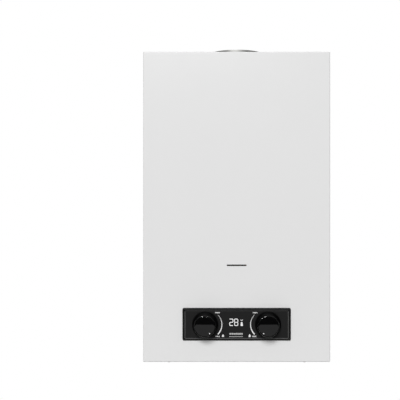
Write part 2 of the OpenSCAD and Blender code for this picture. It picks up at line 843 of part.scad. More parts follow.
// Tapered sheet hood over the fins, with a draught opening at the front
module flue_hood() {
    color("silver")
    difference() {
        forward(chamber_back, chamber_d) hood_outline(0);
        forward(chamber_back - chamber_t, chamber_d - 2 * chamber_t) hood_outline(chamber_t);
        block([-chamber_w / 2 + hood_foot, chamber_front - cut, hood_z + hood_foot],
              [chamber_w / 2 - hood_foot, chamber_front + chamber_t + cut, hood_z + hood_foot + relief_h]);
        rod_z(flue_d - 2 * flue_t, hood_top - 2 * chamber_t, hood_top + cut, 0, -core_y);
    }
}

// Ridged plate that turns a down-draught away from the burner
module flue_baffle() {
    z = hood_z + baffle_z;
    w = baffle_w / 2;
    color("silver") forward(chamber_back - chamber_t, chamber_d - 2 * chamber_t)
        polygon([
            [-w, z], [0, z + baffle_rise], [w, z],
            [w, z - chamber_t], [0, z + baffle_rise - chamber_t], [-w, z - chamber_t]
        ]);
}

// Round spigot for the flue pipe
module flue_collar() {
    r = flue_d / 2;
    color("lightgray") translate([0, -core_y, hood_top]) rotate_extrude() {
        translate([r - flue_t, 0]) square([flue_t, case_h + flue_rise - hood_top]);
        translate([r - flue_t, 0]) square([flue_t + flue_flange, flue_t]);
    }
}

// Disc thermostat on its plate, with two tabs, seated on z = 0
module thermostat() {
    cylinder(d = thermostat_d, h = thermostat_l);
    linear_extrude(chamber_t) round_rect(1.9 * thermostat_d, 0.7 * thermostat_d, 3);
    for (x = [-1, 1])
        translate([x * thermostat_d / 4 - 2.5, -0.4, thermostat_l - cut]) cube([5, 0.8, 6 + cut]);
}

// Spill thermostat on the front of the hood
module flue_thermostat() {
    z = (hood_top + hood_z + baffle_z) / 2;
    color("black") translate([0, chamber_front, z]) rotate([90, 0, 0]) thermostat();
}

// Open frame that carries the burner bars inside the foot of the chamber
module burner_frame() {
    low = bar_foot - 2;
    high = bar_top - 2;
    color("lightgray")
    difference() {
        block([-frame_x, -core_y - frame_half, low], [frame_x, -core_y + frame_half, high]);
        block([-frame_x + frame_t, -core_y - bar_half, low - cut],
              [frame_x - frame_t, -core_y + bar_half, high + cut]);
        for (x = bar_places())
            rod_y(venturi_bore, -core_y - frame_half - cut, -core_y - bar_half + cut, x, venturi_z);
    }
}

function bar_places() = [for (i = [0 : bar_n - 1]) (i - (bar_n - 1) / 2) * bar_pitch];

// Section of one burner bar, drawn in by a given amount: mixing tube, web and head
module bar_section(inset) {
    w = bar_w - 2 * inset;
    web = bar_w / 2 - 2 * inset;
    translate([0, venturi_d / 2]) circle(d = venturi_d - 2 * inset);
    translate([-web / 2, venturi_d / 2]) square([web, bar_h - venturi_d]);
    translate([-w / 2, bar_h - bar_w + inset]) square([w, bar_w / 2 - inset]);
    intersection() {
        translate([0, bar_h - bar_w / 2]) circle(d = w);
        translate([-w / 2, bar_h - bar_w / 2]) square([w, bar_w / 2]);
    }
}

// Length of burner bar, centred, drawn in by a given amount
module bar_form(inset) {
    half = bar_half - inset;
    translate([0, half, 0]) rotate([90, 0, 0]) linear_extrude(2 * half) bar_section(inset);
}

// Row of hollow burner bars, each with a mixing tube and flame slots across its head
module burner_bars() {
    step = 2 * bar_half / port_n;
    color("lightgray")
    for (x = bar_places())
        translate([x, -core_y, bar_foot])
            difference() {
                bar_form(0);
                bar_form(bar_t);
                rod_y(venturi_bore, -bar_half - cut, -bar_half + 2 * bar_t, 0, venturi_d / 2);
                for (i = [0 : port_n - 1])
                    translate([-bar_w, (i - (port_n - 1) / 2) * step - port_w / 2, bar_h - port_d])
                        cube([2 * bar_w, port_w, port_d + cut]);
            }
}

// Square tube that feeds the injectors, with a tab at each end on the burner frame
module gas_manifold() {
    s = manifold_s;
    tab_x = frame_x - 2;
    color("goldenrod")
    difference() {
        union() {
            block([-tab_x, manifold_y - s, venturi_z - s / 2], [tab_x, manifold_y, venturi_z + s / 2]);
            for (x = [-1, 1])
                translate([x * (tab_x - 1.5) - 1.5, manifold_y, venturi_z - s / 2])
                    cube([3, manifold_gap, s]);
        }
        block([-tab_x + 2, manifold_y - s + 1.5, venturi_z - s / 2 + 1.5],
              [tab_x - 2, manifold_y - 1.5, venturi_z + s / 2 - 1.5]);
        rod_z(feed_d - 2, venturi_z - s / 2 - cut, venturi_z - s / 2 + 2, gas_leg_x, manifold_y - s / 2);
    }
}

// One brass injector for each burner bar
module gas_injectors() {
    l = manifold_gap - 1.5;
    color("gold")
    for (x = bar_places())
        translate([x, manifold_y, venturi_z]) rotate([-90, 0, 0])
            difference() {
                union() {
                    hex_bar(injector_d, l / 3);
                    cylinder(d = injector_d * 0.8, h = l * 0.8);
                    translate([0, 0, l * 0.8])
                        cylinder(d1 = injector_d * 0.8, d2 = injector_d * 0.5, h = l * 0.2);
                }
                translate([0, 0, l / 2]) cylinder(d = 1.2, h = l);
            }
}

// Pipe from the gas valve up to the manifold, with a flange at each end
module gas_feed_pipe() {
    run_z = gas_top + 4 + feed_r;
    end_y = manifold_y - manifold_s / 2;
    end_z = venturi_z - manifold_s / 2;
    route = [
        [gas_leg_x, -valve_y, gas_top], [gas_leg_x, -valve_y, run_z],
        [gas_leg_x, end_y, run_z], [gas_leg_x, end_y, end_z]
    ];
    color("goldenrod")
    difference() {
        union() {
            pipe_run(route, feed_d, feed_r);
            rod_z(feed_d + 8, gas_top, gas_top + 3, gas_leg_x, -valve_y);
        }
        pipe_run(route, feed_d - 2, feed_r);
    }
}

// Places of the electrodes, with z along the electrode from the chamber's front to the burner
module at_electrodes() {
    for (x = [-spark_x[0], -spark_x[1], sensor_x])
        translate([x, chamber_front, electrode_z]) rotate([-90, 0, 0]) children();
}

// Plates that hold the insulators on the chamber
module electrode_plate() {
    edge = insulator_d + 2;
    color("silver")
    difference() {
        for (x = [[-spark_x[0] - edge, -spark_x[1] + edge], [sensor_x - edge, sensor_x + edge]])
            block([x[0], chamber_front - electrode_t, electrode_z - edge],
                  [x[1], chamber_front, electrode_z + edge]);
        at_electrodes() translate([0, 0, -2 * electrode_t])
            cylinder(d = insulator_d + 2 * fit, h = 4 * electrode_t);
    }
}

// Ceramic insulators with a collar that seats on the plate
module electrode_insulators() {
    color("white")
    at_electrodes()
        difference() {
            union() {
                translate([0, 0, -insulator_out]) cylinder(d = insulator_d, h = insulator_l);
                translate([0, 0, -electrode_t - 4]) cylinder(d = insulator_d + 4, h = 4);
            }
            translate([0, 0, -insulator_out - cut])
                cylinder(d = electrode_d + 2 * run_fit, h = insulator_l + 2 * cut);
        }
}

// Electrode rods, bent down to the burner at their tips
module electrode_rods() {
    color("gray")
    for (x = [-spark_x[0], -spark_x[1], sensor_x])
        pipe_run([
            [x, terminal_y + fit, electrode_z], [x, chamber_front + rod_reach, electrode_z],
            [x, chamber_front + rod_reach, electrode_z - tip_drop]
        ], electrode_d, 2 * electrode_d);
}

// Threaded end below the casing and plain leg above it, up to a given height
module inlet_leg(top) {
    translate([0, 0, -thread_l]) cylinder(d = thread_d, h = thread_l);
    cylinder(d = leg_d, h = top);
}

// Cast gas valve: barrel, inlet leg, outlet boss, spindle gland and rod gland
module gas_valve_body() {
    color("silver")
    difference() {
        union() {
            rod_x(gas_d, gas_left, gas_right, -valve_y, valve_z);
            rod_x(gas_d + 8, gas_right - clamp_t, gas_right, -valve_y, valve_z);
            rod_x(gas_d + 4, gas_left, gas_left + clamp_t, -valve_y, valve_z);
            translate([gas_leg_x, -valve_y, 0]) inlet_leg(valve_z);
            rod_z(feed_d + 8, valve_z, gas_top, gas_leg_x, -valve_y);
            rod_y(gland_d, gland_end, -valve_y, -knob_x, valve_z);
            rod_y(gland_d + 8, -valve_y, -valve_y + gas_d / 2 + 4, -knob_x, valve_z);
            rod_x(rod_d + 8, gas_right, gas_right + rod_gland, -valve_y, valve_z);
        }
        rod_z(leg_bore, -thread_l - cut, valve_z - gas_d / 2, gas_leg_x, -valve_y);
        rod_z(feed_d - 2, gas_top - 8, gas_top + cut, gas_leg_x, -valve_y);
        rod_y(spindle_d + 2 * run_fit, gland_end - cut, bore_end, -knob_x, valve_z);
        rod_x(rod_d + 2 * run_fit, gas_right - 2 * rod_gland - rod_travel, gas_right + rod_gland + cut,
              -valve_y, valve_z);
        at_bridge_screws(gas_right) cylinder(d = screw_hole_d, h = clamp_t, center = true);
    }
}

// Magnet valve on the back of the gas valve
module gas_solenoid() {
    seat = -valve_y + gas_d / 2 + 4;
    l = -solenoid_room - seat;
    color("dimgray") translate([-knob_x, seat, valve_z]) rotate([-90, 0, 0]) {
        hex_bar(gland_d + 4, 6);
        cylinder(d = gland_d + 2, h = l);
        for (x = [-1, 1])
            translate([x * 5 - 2, -0.4, l]) cube([4, 0.8, 7]);
    }
}

// Round spindle from a valve to its knob, with a flat under the knob's grip
module spindle(x) {
    difference() {
        rod_y(spindle_d, spindle_end + fit, bore_end - fit, x, valve_z);
        block([x - spindle_d, spindle_end, valve_z + spindle_d * 0.35],
              [x + spindle_d, spindle_end + spindle_grip - 2, valve_z + spindle_d]);
    }
}

module gas_spindle() {
    color("gold") spindle(-knob_x);
}

module water_spindle() {
    color("gold") spindle(knob_x);
}

// Half section of a knob: tapered shell with a slight dome, and a hub for the spindle.
// The side runs straight into the round edge, whose middle lies under the dome
module knob_section() {
    base = knob_base_d / 2;
    face = knob_face_d / 2;
    cave = knob_h - knob_wall - 1;
    rim = face - knob_round;
    dome_drop = knob_dome_r - sqrt(pow(knob_dome_r, 2) - pow(rim, 2));
    rim_z = knob_h - dome_drop - knob_round + merge;
    foot = [base - rim, knob_skirt - rim_z];
    lean = atan2(foot[1], foot[0]) + acos(knob_round / norm(foot));
    side_end = [rim, rim_z] + (knob_round - merge) * [cos(lean), sin(lean)];
    difference() {
        intersection() {
            union() {
                polygon([
                    [0, 0], [base, 0], [base, knob_skirt], side_end, [rim, rim_z], [rim, knob_h], [0, knob_h]
                ]);
                translate([rim, rim_z]) circle(knob_round);
            }
            translate([0, knob_h - knob_dome_r]) circle(knob_dome_r, $fn = 1440);
            square([base + cut, knob_h + cut]);
        }
        polygon([
            [knob_hub_d / 2, -cut], [base - knob_wall, -cut], [base - knob_wall, knob_skirt],
            [face - knob_wall, cave], [knob_hub_d / 2, cave]
        ]);
        translate([0, -cut]) square([spindle_d / 2 + run_fit, spindle_grip + cut]);
    }
}

module knob(x) {
    translate([x, knob_back, valve_z]) rotate([90, 0, 0]) rotate_extrude() knob_section();
}

module gas_knob() {
    color("black") knob(-knob_x);
}

module water_knob() {
    color("black") knob(knob_x);
}

// Places round the diaphragm's flanges, with z along the valve from left to right
module at_clamp_screws(x) {
    for (i = [0 : clamp_n - 1])
        translate([x, -valve_y, valve_z]) rotate([0, 90, 0]) rotate(360 * (i + 0.5) / clamp_n)
            translate([clamp_circle, 0, 0]) children();
}

// Cast water valve: clamp flange, barrel, inlet leg, spindle gland, drain boss and outlet thread
module water_valve_body() {
    color("goldenrod")
    difference() {
        union() {
            rod_x(diaphragm_d, body_left, body_left + clamp_t, -valve_y, valve_z);
            rod_x(water_d, body_left, body_right, -valve_y, valve_z);
            rod_x(union_d, body_right, union_end, -valve_y, valve_z);
            translate([water_leg_x, -valve_y, 0]) inlet_leg(valve_z);
            rod_y(gland_d, gland_end, -valve_y, knob_x, valve_z);
            rod_y(gland_d, drain_y, -valve_y, water_leg_x, drain_z);
        }
        rod_z(leg_bore, -thread_l - cut, valve_z - water_d / 2, water_leg_x, -valve_y);
        rod_x(tube_d - 2 * tube_wall, body_right - 8, union_end + cut, -valve_y, valve_z);
        rod_y(spindle_d + 2 * run_fit, gland_end - cut, bore_end, knob_x, valve_z);
        rod_y(gland_d / 2 + 2 * run_fit, drain_y - cut, drain_y + 9, water_leg_x, drain_z);
        at_clamp_screws(body_left) cylinder(d = screw_hole_d, h = 2 * (clamp_t - 1), center = true);
    }
}

// Rubber disc clamped between the water valve and its cover
module diaphragm() {
    color("dimgray")
    difference() {
        rod_x(diaphragm_d, cover_right, body_left, -valve_y, valve_z);
        at_clamp_screws(body_left) cylinder(d = screw_hole_d, h = 4 * diaphragm_t, center = true);
    }
}

// Domed cover of the diaphragm, with a gland for the push rod
module diaphragm_cover() {
    color("goldenrod")
    difference() {
        union() {
            rod_x(diaphragm_d, cover_flange, cover_right, -valve_y, valve_z);
            translate([cover_left, -valve_y, valve_z]) rotate([0, 90, 0])
                cylinder(d1 = bridge_w + 2, d2 = 2 * clamp_circle - screw_head_d - 2, h = dome_l);
            rod_x(rod_d + 8, cover_left - rod_gland, cover_left, -valve_y, valve_z);
        }
        rod_x(rod_d + 2 * run_fit, cover_left - rod_gland - cut, cover_right + cut, -valve_y, valve_z);
        at_clamp_screws(cover_right) cylinder(d = screw_hole_d, h = 4 * clamp_t, center = true);
        at_bridge_screws(cover_left) cylinder(d = screw_hole_d, h = clamp_t + 2, center = true);
    }
}

// Screws round the diaphragm cover
module diaphragm_screws() {
    color("gray") at_clamp_screws(cover_flange) screw(2 * clamp_t + diaphragm_t - 3);
}

// Strainer in the cold inlet
module inlet_filter() {
    d = leg_bore - 2 * fit;
    color("lightgray")
    difference() {
        rod_z(d, -thread_l + 3, 10, water_leg_x, -valve_y);
        rod_z(d - 1.6, -thread_l + 3 - cut, 9, water_leg_x, -valve_y);
        for (a = [0, 60, 120], z = [-6 : 4 : 6])
            translate([water_leg_x, -valve_y, z]) rotate(a) rotate([0, 90, 0])
                cylinder(d = 2, h = leg_d, center = true);
    }
}

// Plug for draining the heater against frost
module drain_plug() {
    color("gold") translate([water_leg_x, drain_y, drain_z]) rotate([-90, 0, 0]) {
        cylinder(d = gland_d / 2, h = 8);
        translate([0, 0, -2]) cylinder(d = gland_d - 2, h = 2);
        translate([0, 0, -7]) hex_bar(gland_d - 6, 5);
    }
}

// Places of the bridge screws on a plane across the valves' axis, with z to the right
module at_bridge_screws(x) {
    for (y = [-1, 1])
        translate([x, -valve_y + y * (bridge_w / 2 - screw_head_d / 2 - 1), valve_z])
            rotate([0, 90, 0]) children();
}

// U-shaped bridge that ties the two valves together round the push rod
module valve_bridge() {
    color("silver")
    difference() {
        block([gas_right, -valve_y - bridge_w / 2, bridge_z - bridge_t],
              [cover_left, -valve_y + bridge_w / 2, valve_z + bridge_w / 3]);
        block([gas_right + bridge_t, -valve_y - bridge_w, bridge_z],
              [cover_left - bridge_t, -valve_y + bridge_w, valve_z + bridge_w]);
        rod_x(rod_d + 8 + 2 * fit, gas_right - cut, cover_left + cut, -valve_y, valve_z);
        for (x = [gas_right, cover_left])
            at_bridge_screws(x) cylinder(d = screw_hole_d, h = 3 * bridge_t, center = true);
    }
}

// Two screws at each end of the bridge
module bridge_screws() {
    color("gray") {
        at_bridge_screws(gas_right + bridge_t) mirror([0, 0, 1]) screw(bridge_t + clamp_t / 2 - 1);
        at_bridge_screws(cover_left - bridge_t) screw(bridge_t + clamp_t / 2);
    }
}

// Rod that opens the gas valve when water moves the diaphragm
module push_rod() {
    color("gold") {
        rod_x(rod_d, gas_right - rod_gland, cover_left + rod_gland, -valve_y, valve_z);
        rod_x(collar_d, collar_left, collar_left + collar_l, -valve_y, valve_z);
    }
}

// Switch on the bridge, with the pin that its lever turns on
module microswitch() {
    low = pivot_x - 6;
    color("black") {
        block([low, switch_front, bridge_z], [low + 26, switch_front + switch_w, bridge_z + 11]);
        rod_y(pivot_d, switch_front - lever_w - 1, switch_front, pivot_x, pivot_z);
        for (x = [4, 12, 20])
            translate([low + x, switch_front + switch_w, bridge_z + 3]) cube([3, 7, 0.8]);
    }
}

// Lever of the switch: eye, leaning arm and round tip
module switch_lever() {
    back = switch_front - fit;
    color("silver") translate([pivot_x, back, pivot_z])
        rotate([90, 0, 0]) linear_extrude(lever_w - fit)
            difference() {
                union() {
                    circle(d = pivot_d + 3);
                    rotate(atan2(lever_rise, lever_lean)) translate([0, -0.8])
                        square([norm([lever_lean, lever_rise]), 1.6]);
                    translate([lever_lean, lever_rise]) circle(tip_r);
                }
                circle(d = pivot_d + 2 * run_fit);
            }
}

// Union joint along z: the thread ends at zero and the pipe starts above the seal
module union_nut() {
    grip = seal_t + 2 + fit;
    difference() {
        translate([0, 0, -9]) hex_bar(nut_af, 9 + grip + 5);
        translate([0, 0, -9 - cut]) cylinder(d = union_d + 2 * fit, h = 9 + cut + grip);
        cylinder(d = tube_d + 2 * fit, h = grip + 5 + cut);
    }
}

module at_cold_union() {
    translate([union_end, -valve_y, valve_z]) rotate([0, 90, 0]) children();
}

module at_hot_union() {
    translate([hot_x, tube_last, hot_end]) children();
}

module union_nuts() {
    color("goldenrod") {
        at_cold_union() union_nut();
        at_hot_union() union_nut();
    }
}

module union_seal() {
    difference() {
        cylinder(d = union_d - fit, h = seal_t);
        translate([0, 0, -cut]) cylinder(d = tube_d - 2 * tube_wall, h = seal_t + 2 * cut);
    }
}

module union_seals() {
    color("dimgray") {
        at_cold_union() union_seal();
        at_hot_union() union_seal();
    }
}

// Collar at the end of a pipe, which the union nut draws up
module pipe_collar() {
    translate([0, 0, seal_t]) cylinder(d = union_d - fit, h = 2);
}

// Pipe from the water valve to the first tube of the exchanger
module cold_pipe() {
    jog_z = chamber_z + 2 * bend_r;
    route = [
        [union_end + seal_t, -valve_y, valve_z], [riser_x, -valve_y, valve_z],
        [riser_x, -valve_y, jog_z], [riser_x, tube_first, jog_z],
        [riser_x, tube_first, tube_z], [tube_end, tube_first, tube_z]
    ];
    color("peru")
    difference() {
        union() {
            pipe_run(route, tube_d, bend_r);
            at_cold_union() pipe_collar();
        }
        pipe_run(route, tube_d - 2 * tube_wall, bend_r);
    }
}

// Pipe from the last tube of the exchanger down to the hot outlet
module hot_pipe() {
    route = [
        [-tube_end, tube_last, tube_z], [hot_x, tube_last, tube_z], [hot_x, tube_last, hot_end + seal_t]
    ];
    color("peru")
    difference() {
        union() {
            pipe_run(route, tube_d, bend_r);
            at_hot_union() pipe_collar();
        }
        pipe_run(route, tube_d - 2 * tube_wall, bend_r);
    }
}

// Outlet fitting whose hexagon stands on the bottom plate
module hot_outlet() {
    color("goldenrod") translate([hot_x, tube_last, 0])
        difference() {
            union() {
                inlet_leg(plate_z);
                translate([0, 0, plate_z]) hex_bar(leg_d + 4, hot_hex_h);
                cylinder(d = union_d, h = hot_end);
            }
            translate([0, 0, -thread_l - cut])
                cylinder(d = tube_d - 2 * tube_wall, h = hot_end + thread_l + 2 * cut);
        }
}

// Overheat thermostat on a saddle against the hot pipe
module hot_thermostat() {
    z = (tube_z + hot_end) / 2;
    saddle = tube_d / 2 + 4;
    color("black") {
        difference() {
            block([hot_x - tube_d / 2 - 2, tube_last - saddle, z - 8],
                  [hot_x + tube_d / 2 + 2, tube_last - 2, z + 8]);
            rod_z(tube_d + 2 * fit, z - 9, z + 9, hot_x, tube_last);
        }
        translate([hot_x, tube_last - saddle, z]) rotate([90, 0, 0])
            cylinder(d = thermostat_d, h = thermostat_l);
    }
}

// Box of the ignition controller, open at the top
module control_box() {
    color("white") translate([control_x, control_y, plate_z])
        difference() {
            cube([control_w, control_d, control_h]);
            translate([control_wall, control_wall, control_wall])
                cube([control_w - 2 * control_wall, control_d - 2 * control_wall, control_h]);
        }
}

// Lid of the controller box, with a rim inside the box
module control_box_lid() {
    in = control_wall + fit;
    color("whitesmoke") translate([control_x, control_y, plate_z + control_h]) {
        difference() {
            translate([in, in, -5]) cube([control_w - 2 * in, control_d - 2 * in, 5]);
            translate([2 * in, 2 * in, -5 - cut]) cube([control_w - 4 * in, control_d - 4 * in, 5 + cut]);
        }
        cube([control_w, control_d, control_lid]);
    }
}

// Battery box, open at the bottom, with an ear at each end on the bottom plate
module battery_box() {
    x = box_in_l / 2;
    color("dimgray")
    difference() {
        union() {
            block([-x - box_wall, box_front, sheet_t], [x + box_wall, box_back, box_top]);
            for (s = [-1, 1])
                translate([s * ear_x - ear_l / 2, cell_y - ear_l, plate_z])
                    cube([ear_l, 2 * ear_l, box_wall]);
        }
        block([-x, box_front + box_wall, sheet_t - cut], [x, box_back - box_wall, box_top - box_wall]);
        rod_x(pin_d + 2 * run_fit, -x - box_wall - cut, x + box_wall + cut, hinge_y, hinge_z);
        for (s = [-1, 1])
            rod_z(screw_hole_d, plate_z - cut, plate_z + box_wall + cut, s * ear_x, cell_y);
    }
}

// Lid under the battery box, with its hinge barrel, two pins and a thumb lip
module battery_lid() {
    x = box_in_l / 2 - fit;
    front = box_front + box_wall + fit;
    color("dimgray") {
        block([-x, front, sheet_t], [x, hinge_y, sheet_t + lid_t]);
        rod_x(2 * hinge_r, -x, x, hinge_y, hinge_z);
        rod_x(pin_d, -x - fit - box_wall + 0.2, x + fit + box_wall - 0.2, hinge_y, hinge_z);
        block([-ear_l, front, sheet_t - lid_t], [ear_l, front + lid_t, sheet_t]);
    }
}

// Two round cells in line
module battery_cells() {
    color("darkolivegreen")
    for (x = [-cell_l, 0])
        translate([x, cell_y, cell_z]) rotate([0, 90, 0]) rotate_extrude() {
            square([cell_d / 2, cell_l - 1.5]);
            square([cell_d / 7, cell_l]);
        }
}

// Contact plate and nib at each end of the cells
module battery_contacts() {
    color("gold")
    for (s = [-1, 1])
        translate([s * box_in_l / 2, cell_y, cell_z]) rotate([0, -90 * s, 0]) {
            translate([-cell_d / 3, -cell_d / 3, 0]) cube([2 * cell_d / 3, 2 * cell_d / 3, 0.6]);
            cylinder(d1 = cell_d / 3, d2 = cell_d / 5, h = contact_l - fit);
        }
}

// Two insulated leads to the spark electrodes
module ignition_leads() {
    color("firebrick")
    for (route = lead_routes)
        lead(route, lead_d);
}

// Black frame of the control panel: bevelled rim, ledge for the fascia, skirt and snap lugs
module panel_bezel() {
    w = panel_w / 2;
    h = panel_h / 2;
    b = panel_bevel;
    bevel_y = panel_front + panel_bevel_d;
    lug_y = sheet_y + fit;
    color("black") translate([0, 0, panel_z])
    difference() {
        union() {
            intersection() {
                forward(front_y, panel_raise) round_rect(panel_w, panel_h, panel_r);
                translate([0, 0, -h]) linear_extrude(panel_h) polygon([
                    [-w, front_y], [-w, bevel_y], [-w + b, panel_front],
                    [w - b, panel_front], [w, bevel_y], [w, front_y]
                ]);
                across(panel_w) polygon([
                    [front_y, -h], [bevel_y, -h], [panel_front, -h + b],
                    [panel_front, h - b], [bevel_y, h], [front_y, h]
                ]);
            }
            forward(skirt_back, bezel_skirt) square([skirt_w, skirt_h], center = true);
            for (x = [-1, 1], z = [-1, 1])
                translate([x * skirt_w / 3, 0, z * skirt_h / 2])
                    block([-6, lug_y, -1], [6, lug_y + 1.5, 1]);
        }
        forward(skirt_back + cut, case_d)
            square([skirt_w - 2 * bezel_wall, skirt_h - 2 * bezel_wall], center = true);
        forward(fascia_back, case_d) round_rect(fascia_w + 2 * fit, fascia_h + 2 * fit, panel_r / 2 + fit);
    }
}

// Black fascia plate with a hole for each spindle
module panel_fascia() {
    color("black")
    difference() {
        forward(fascia_back, fascia_t) translate([0, panel_z]) round_rect(fascia_w, fascia_h, panel_r / 2);
        for (x = [-1, 1])
            rod_y(spindle_d + 6, fascia_front - cut, fascia_back + cut, x * knob_x, panel_z);
    }
}

// Circuit board inside the bezel's skirt
module display_board() {
    h = skirt_h - 2 * bezel_wall - 2 * fit;
    color("darkgreen") forward(board_front + board_t, board_t) translate([0, panel_z])
        square([board_w, h], center = true);
}

// Lit number display on the board, behind the fascia
module display_module() {
    color("dimgray") forward(board_front, board_front - fascia_back - fit) translate([0, panel_z + 3])
        square([module_w, module_h], center = true);
}

place() back_plate();
place() bottom_plate();
place() front_cover();
place() cover_screws();
place() chassis_screws();
place() sight_glass();
place() sight_retainer();
place() chamber_brackets();
place() combustion_chamber();
place() exchanger_fins();
place() exchanger_tubes();
place() return_bends();
place() flue_hood();
place() flue_baffle();
place() flue_collar();
place() flue_thermostat();
place() burner_frame();
place() burner_bars();
place() gas_manifold();
place() gas_injectors();
place() gas_feed_pipe();
place() electrode_plate();
place() electrode_insulators();
place() electrode_rods();
place() gas_valve_body();
place() gas_solenoid();
place() gas_spindle();
place() gas_knob();
place() water_valve_body();
place() diaphragm();
place() diaphragm_cover();
place() diaphragm_screws();
place() water_spindle();
place() water_knob();
place() inlet_filter();
place() drain_plug();
place() valve_bridge();
place() bridge_screws();
place() push_rod();
place() microswitch();
place() switch_lever();
place() cold_pipe();
place() hot_pipe();
place() hot_outlet();
place() union_nuts();
place() union_seals();
place() hot_thermostat();
place() control_box();
place() control_box_lid();
place() battery_box();
place() battery_lid();
place() battery_cells();
place() battery_contacts();
place() ignition_leads();
place() panel_bezel();
place() panel_fascia();
place() display_board();
place() display_module();
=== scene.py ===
"""Looks of a wall-hung gas water heater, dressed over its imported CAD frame.

Sizes of pieces are millimetres, with heights measured up from the casing's bottom edge. They become metres in
the row frame, whose origin is the middle of the wall-fixing holes, only when a mesh is made. Finishes and the
studio are in metres in the row frame.
"""

import logging
import math
from dataclasses import dataclass, field
from enum import Enum
from typing import Any, Callable

import bmesh
import bpy
from mathutils import Matrix, Vector


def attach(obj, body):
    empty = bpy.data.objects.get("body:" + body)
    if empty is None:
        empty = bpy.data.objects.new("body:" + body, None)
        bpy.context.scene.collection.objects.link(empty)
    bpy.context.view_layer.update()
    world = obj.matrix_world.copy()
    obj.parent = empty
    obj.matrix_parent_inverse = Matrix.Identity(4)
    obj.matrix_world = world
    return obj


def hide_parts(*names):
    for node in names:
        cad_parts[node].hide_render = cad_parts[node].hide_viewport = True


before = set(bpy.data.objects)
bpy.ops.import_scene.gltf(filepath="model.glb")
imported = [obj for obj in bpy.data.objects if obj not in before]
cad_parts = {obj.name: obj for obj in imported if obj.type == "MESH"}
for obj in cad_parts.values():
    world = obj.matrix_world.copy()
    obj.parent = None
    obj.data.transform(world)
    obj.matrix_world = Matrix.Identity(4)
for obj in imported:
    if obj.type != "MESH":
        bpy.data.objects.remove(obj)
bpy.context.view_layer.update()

Triple = tuple[float, float, float]
Rgb = Triple
Point = tuple[float, float]
Loop = list[Point]
Ring = list[bmesh.types.BMVert]

MM = 0.001
CASE_HEIGHT = 547.0
CREASE = math.radians(28.0)

log = logging.getLogger("water_heater")


class Body(Enum):
    """Rigid bodies of the heater."""

    HEATER = "heater"
    GAS_CONTROL = "gas_control"
    WATER_CONTROL = "water_control"
    BATTERY_DOOR = "battery_door"


class Slot(Enum):
    """Material slots of the record, listed beside some added pieces but not given to them here."""

    PRINT = "plastic_white"
    STEEL = "screw_steel"
    BRASS = "cast_brass"
    ALUMINIUM = "cast_aluminium"
    DARK = "plastic_black"
    KNOB = "knob_black"
    PANEL = "panel_black"


class Side(Enum):
    """Side of the heater, as a sign along X."""

    LEFT = -1
    RIGHT = 1


class Axis(Enum):
    """Direction in the row frame, by the number of its coordinate."""

    ACROSS = 0
    DEPTH = 1
    UP = 2


def grey(level: float) -> float:
    """Return the linear value of an sRGB grey level from 0 to 255."""
    share = level / 255.0
    return share / 12.92 if share <= 0.04045 else ((share + 0.055) / 1.055) ** 2.4


def even(level: float) -> Rgb:
    """Return a neutral linear colour for a grey level from 0 to 255."""
    return (grey(level),) * 3


def shade(tone: Rgb, factor: float) -> Rgb:
    """Return a colour made darker or lighter by a factor."""
    return tuple(min(1.0, part * factor) for part in tone)


def spot(x: float, y: float, z: float) -> Vector:
    """Return a point of the casing's own millimetres in the row frame.

    Args:
        x: distance to the right of the middle.
        y: distance towards the wall, so the front is negative.
        z: height above the casing's bottom edge.

    Returns:
        The point in metres.
    """
    return Vector((x, y, z - CASE_HEIGHT / 2)) * MM


class Signal:
    """A shader value on which plain arithmetic adds Math nodes."""

    def __init__(self, graph: "Graph", socket: bpy.types.NodeSocket) -> None:
        """Wrap a socket of a graph."""
        self.graph = graph
        self.socket = socket

    def _math(self, operation: str, *values: "Signal | float") -> "Signal":
        """Add a Math node for an operation on values."""
        return self.graph.node("ShaderNodeMath", {"operation": operation}, dict(enumerate(values)))

    def __add__(self, other: "Signal | float") -> "Signal":
        """Return the sum."""
        return self._math("ADD", self, other)

    def __radd__(self, other: float) -> "Signal":
        """Return the sum, with the number first."""
        return self._math("ADD", other, self)

    def __sub__(self, other: "Signal | float") -> "Signal":
        """Return the difference."""
        return self._math("SUBTRACT", self, other)

    def __rsub__(self, other: float) -> "Signal":
        """Return the difference, with the number first."""
        return self._math("SUBTRACT", other, self)

    def __mul__(self, other: "Signal | float") -> "Signal":
        """Return the product."""
        return self._math("MULTIPLY", self, other)

    def __rmul__(self, other: float) -> "Signal":
        """Return the product, with the number first."""
        return self._math("MULTIPLY", other, self)

    def __abs__(self) -> "Signal":
        """Return the size of the value without its sign."""
        return self._math("ABSOLUTE", self)

    def larger(self, other: "Signal") -> "Signal":
        """Return the larger of two values."""
        return self._math("MAXIMUM", self, other)

    def rise(self, low: float, high: float, smooth: bool = True) -> "Signal":
        """Return a step between two values.

        Args:
            low: the value at which it is 0.
            high: the value at which it is 1, which may lie below low.
            smooth: whether it eases in and out.

        Returns:
            The step, from 0 to 1.
        """
        kind = {"interpolation_type": "SMOOTHSTEP" if smooth else "LINEAR"}
        return self.graph.node("ShaderNodeMapRange", kind, {"Value": self, "From Min": low, "From Max": high})


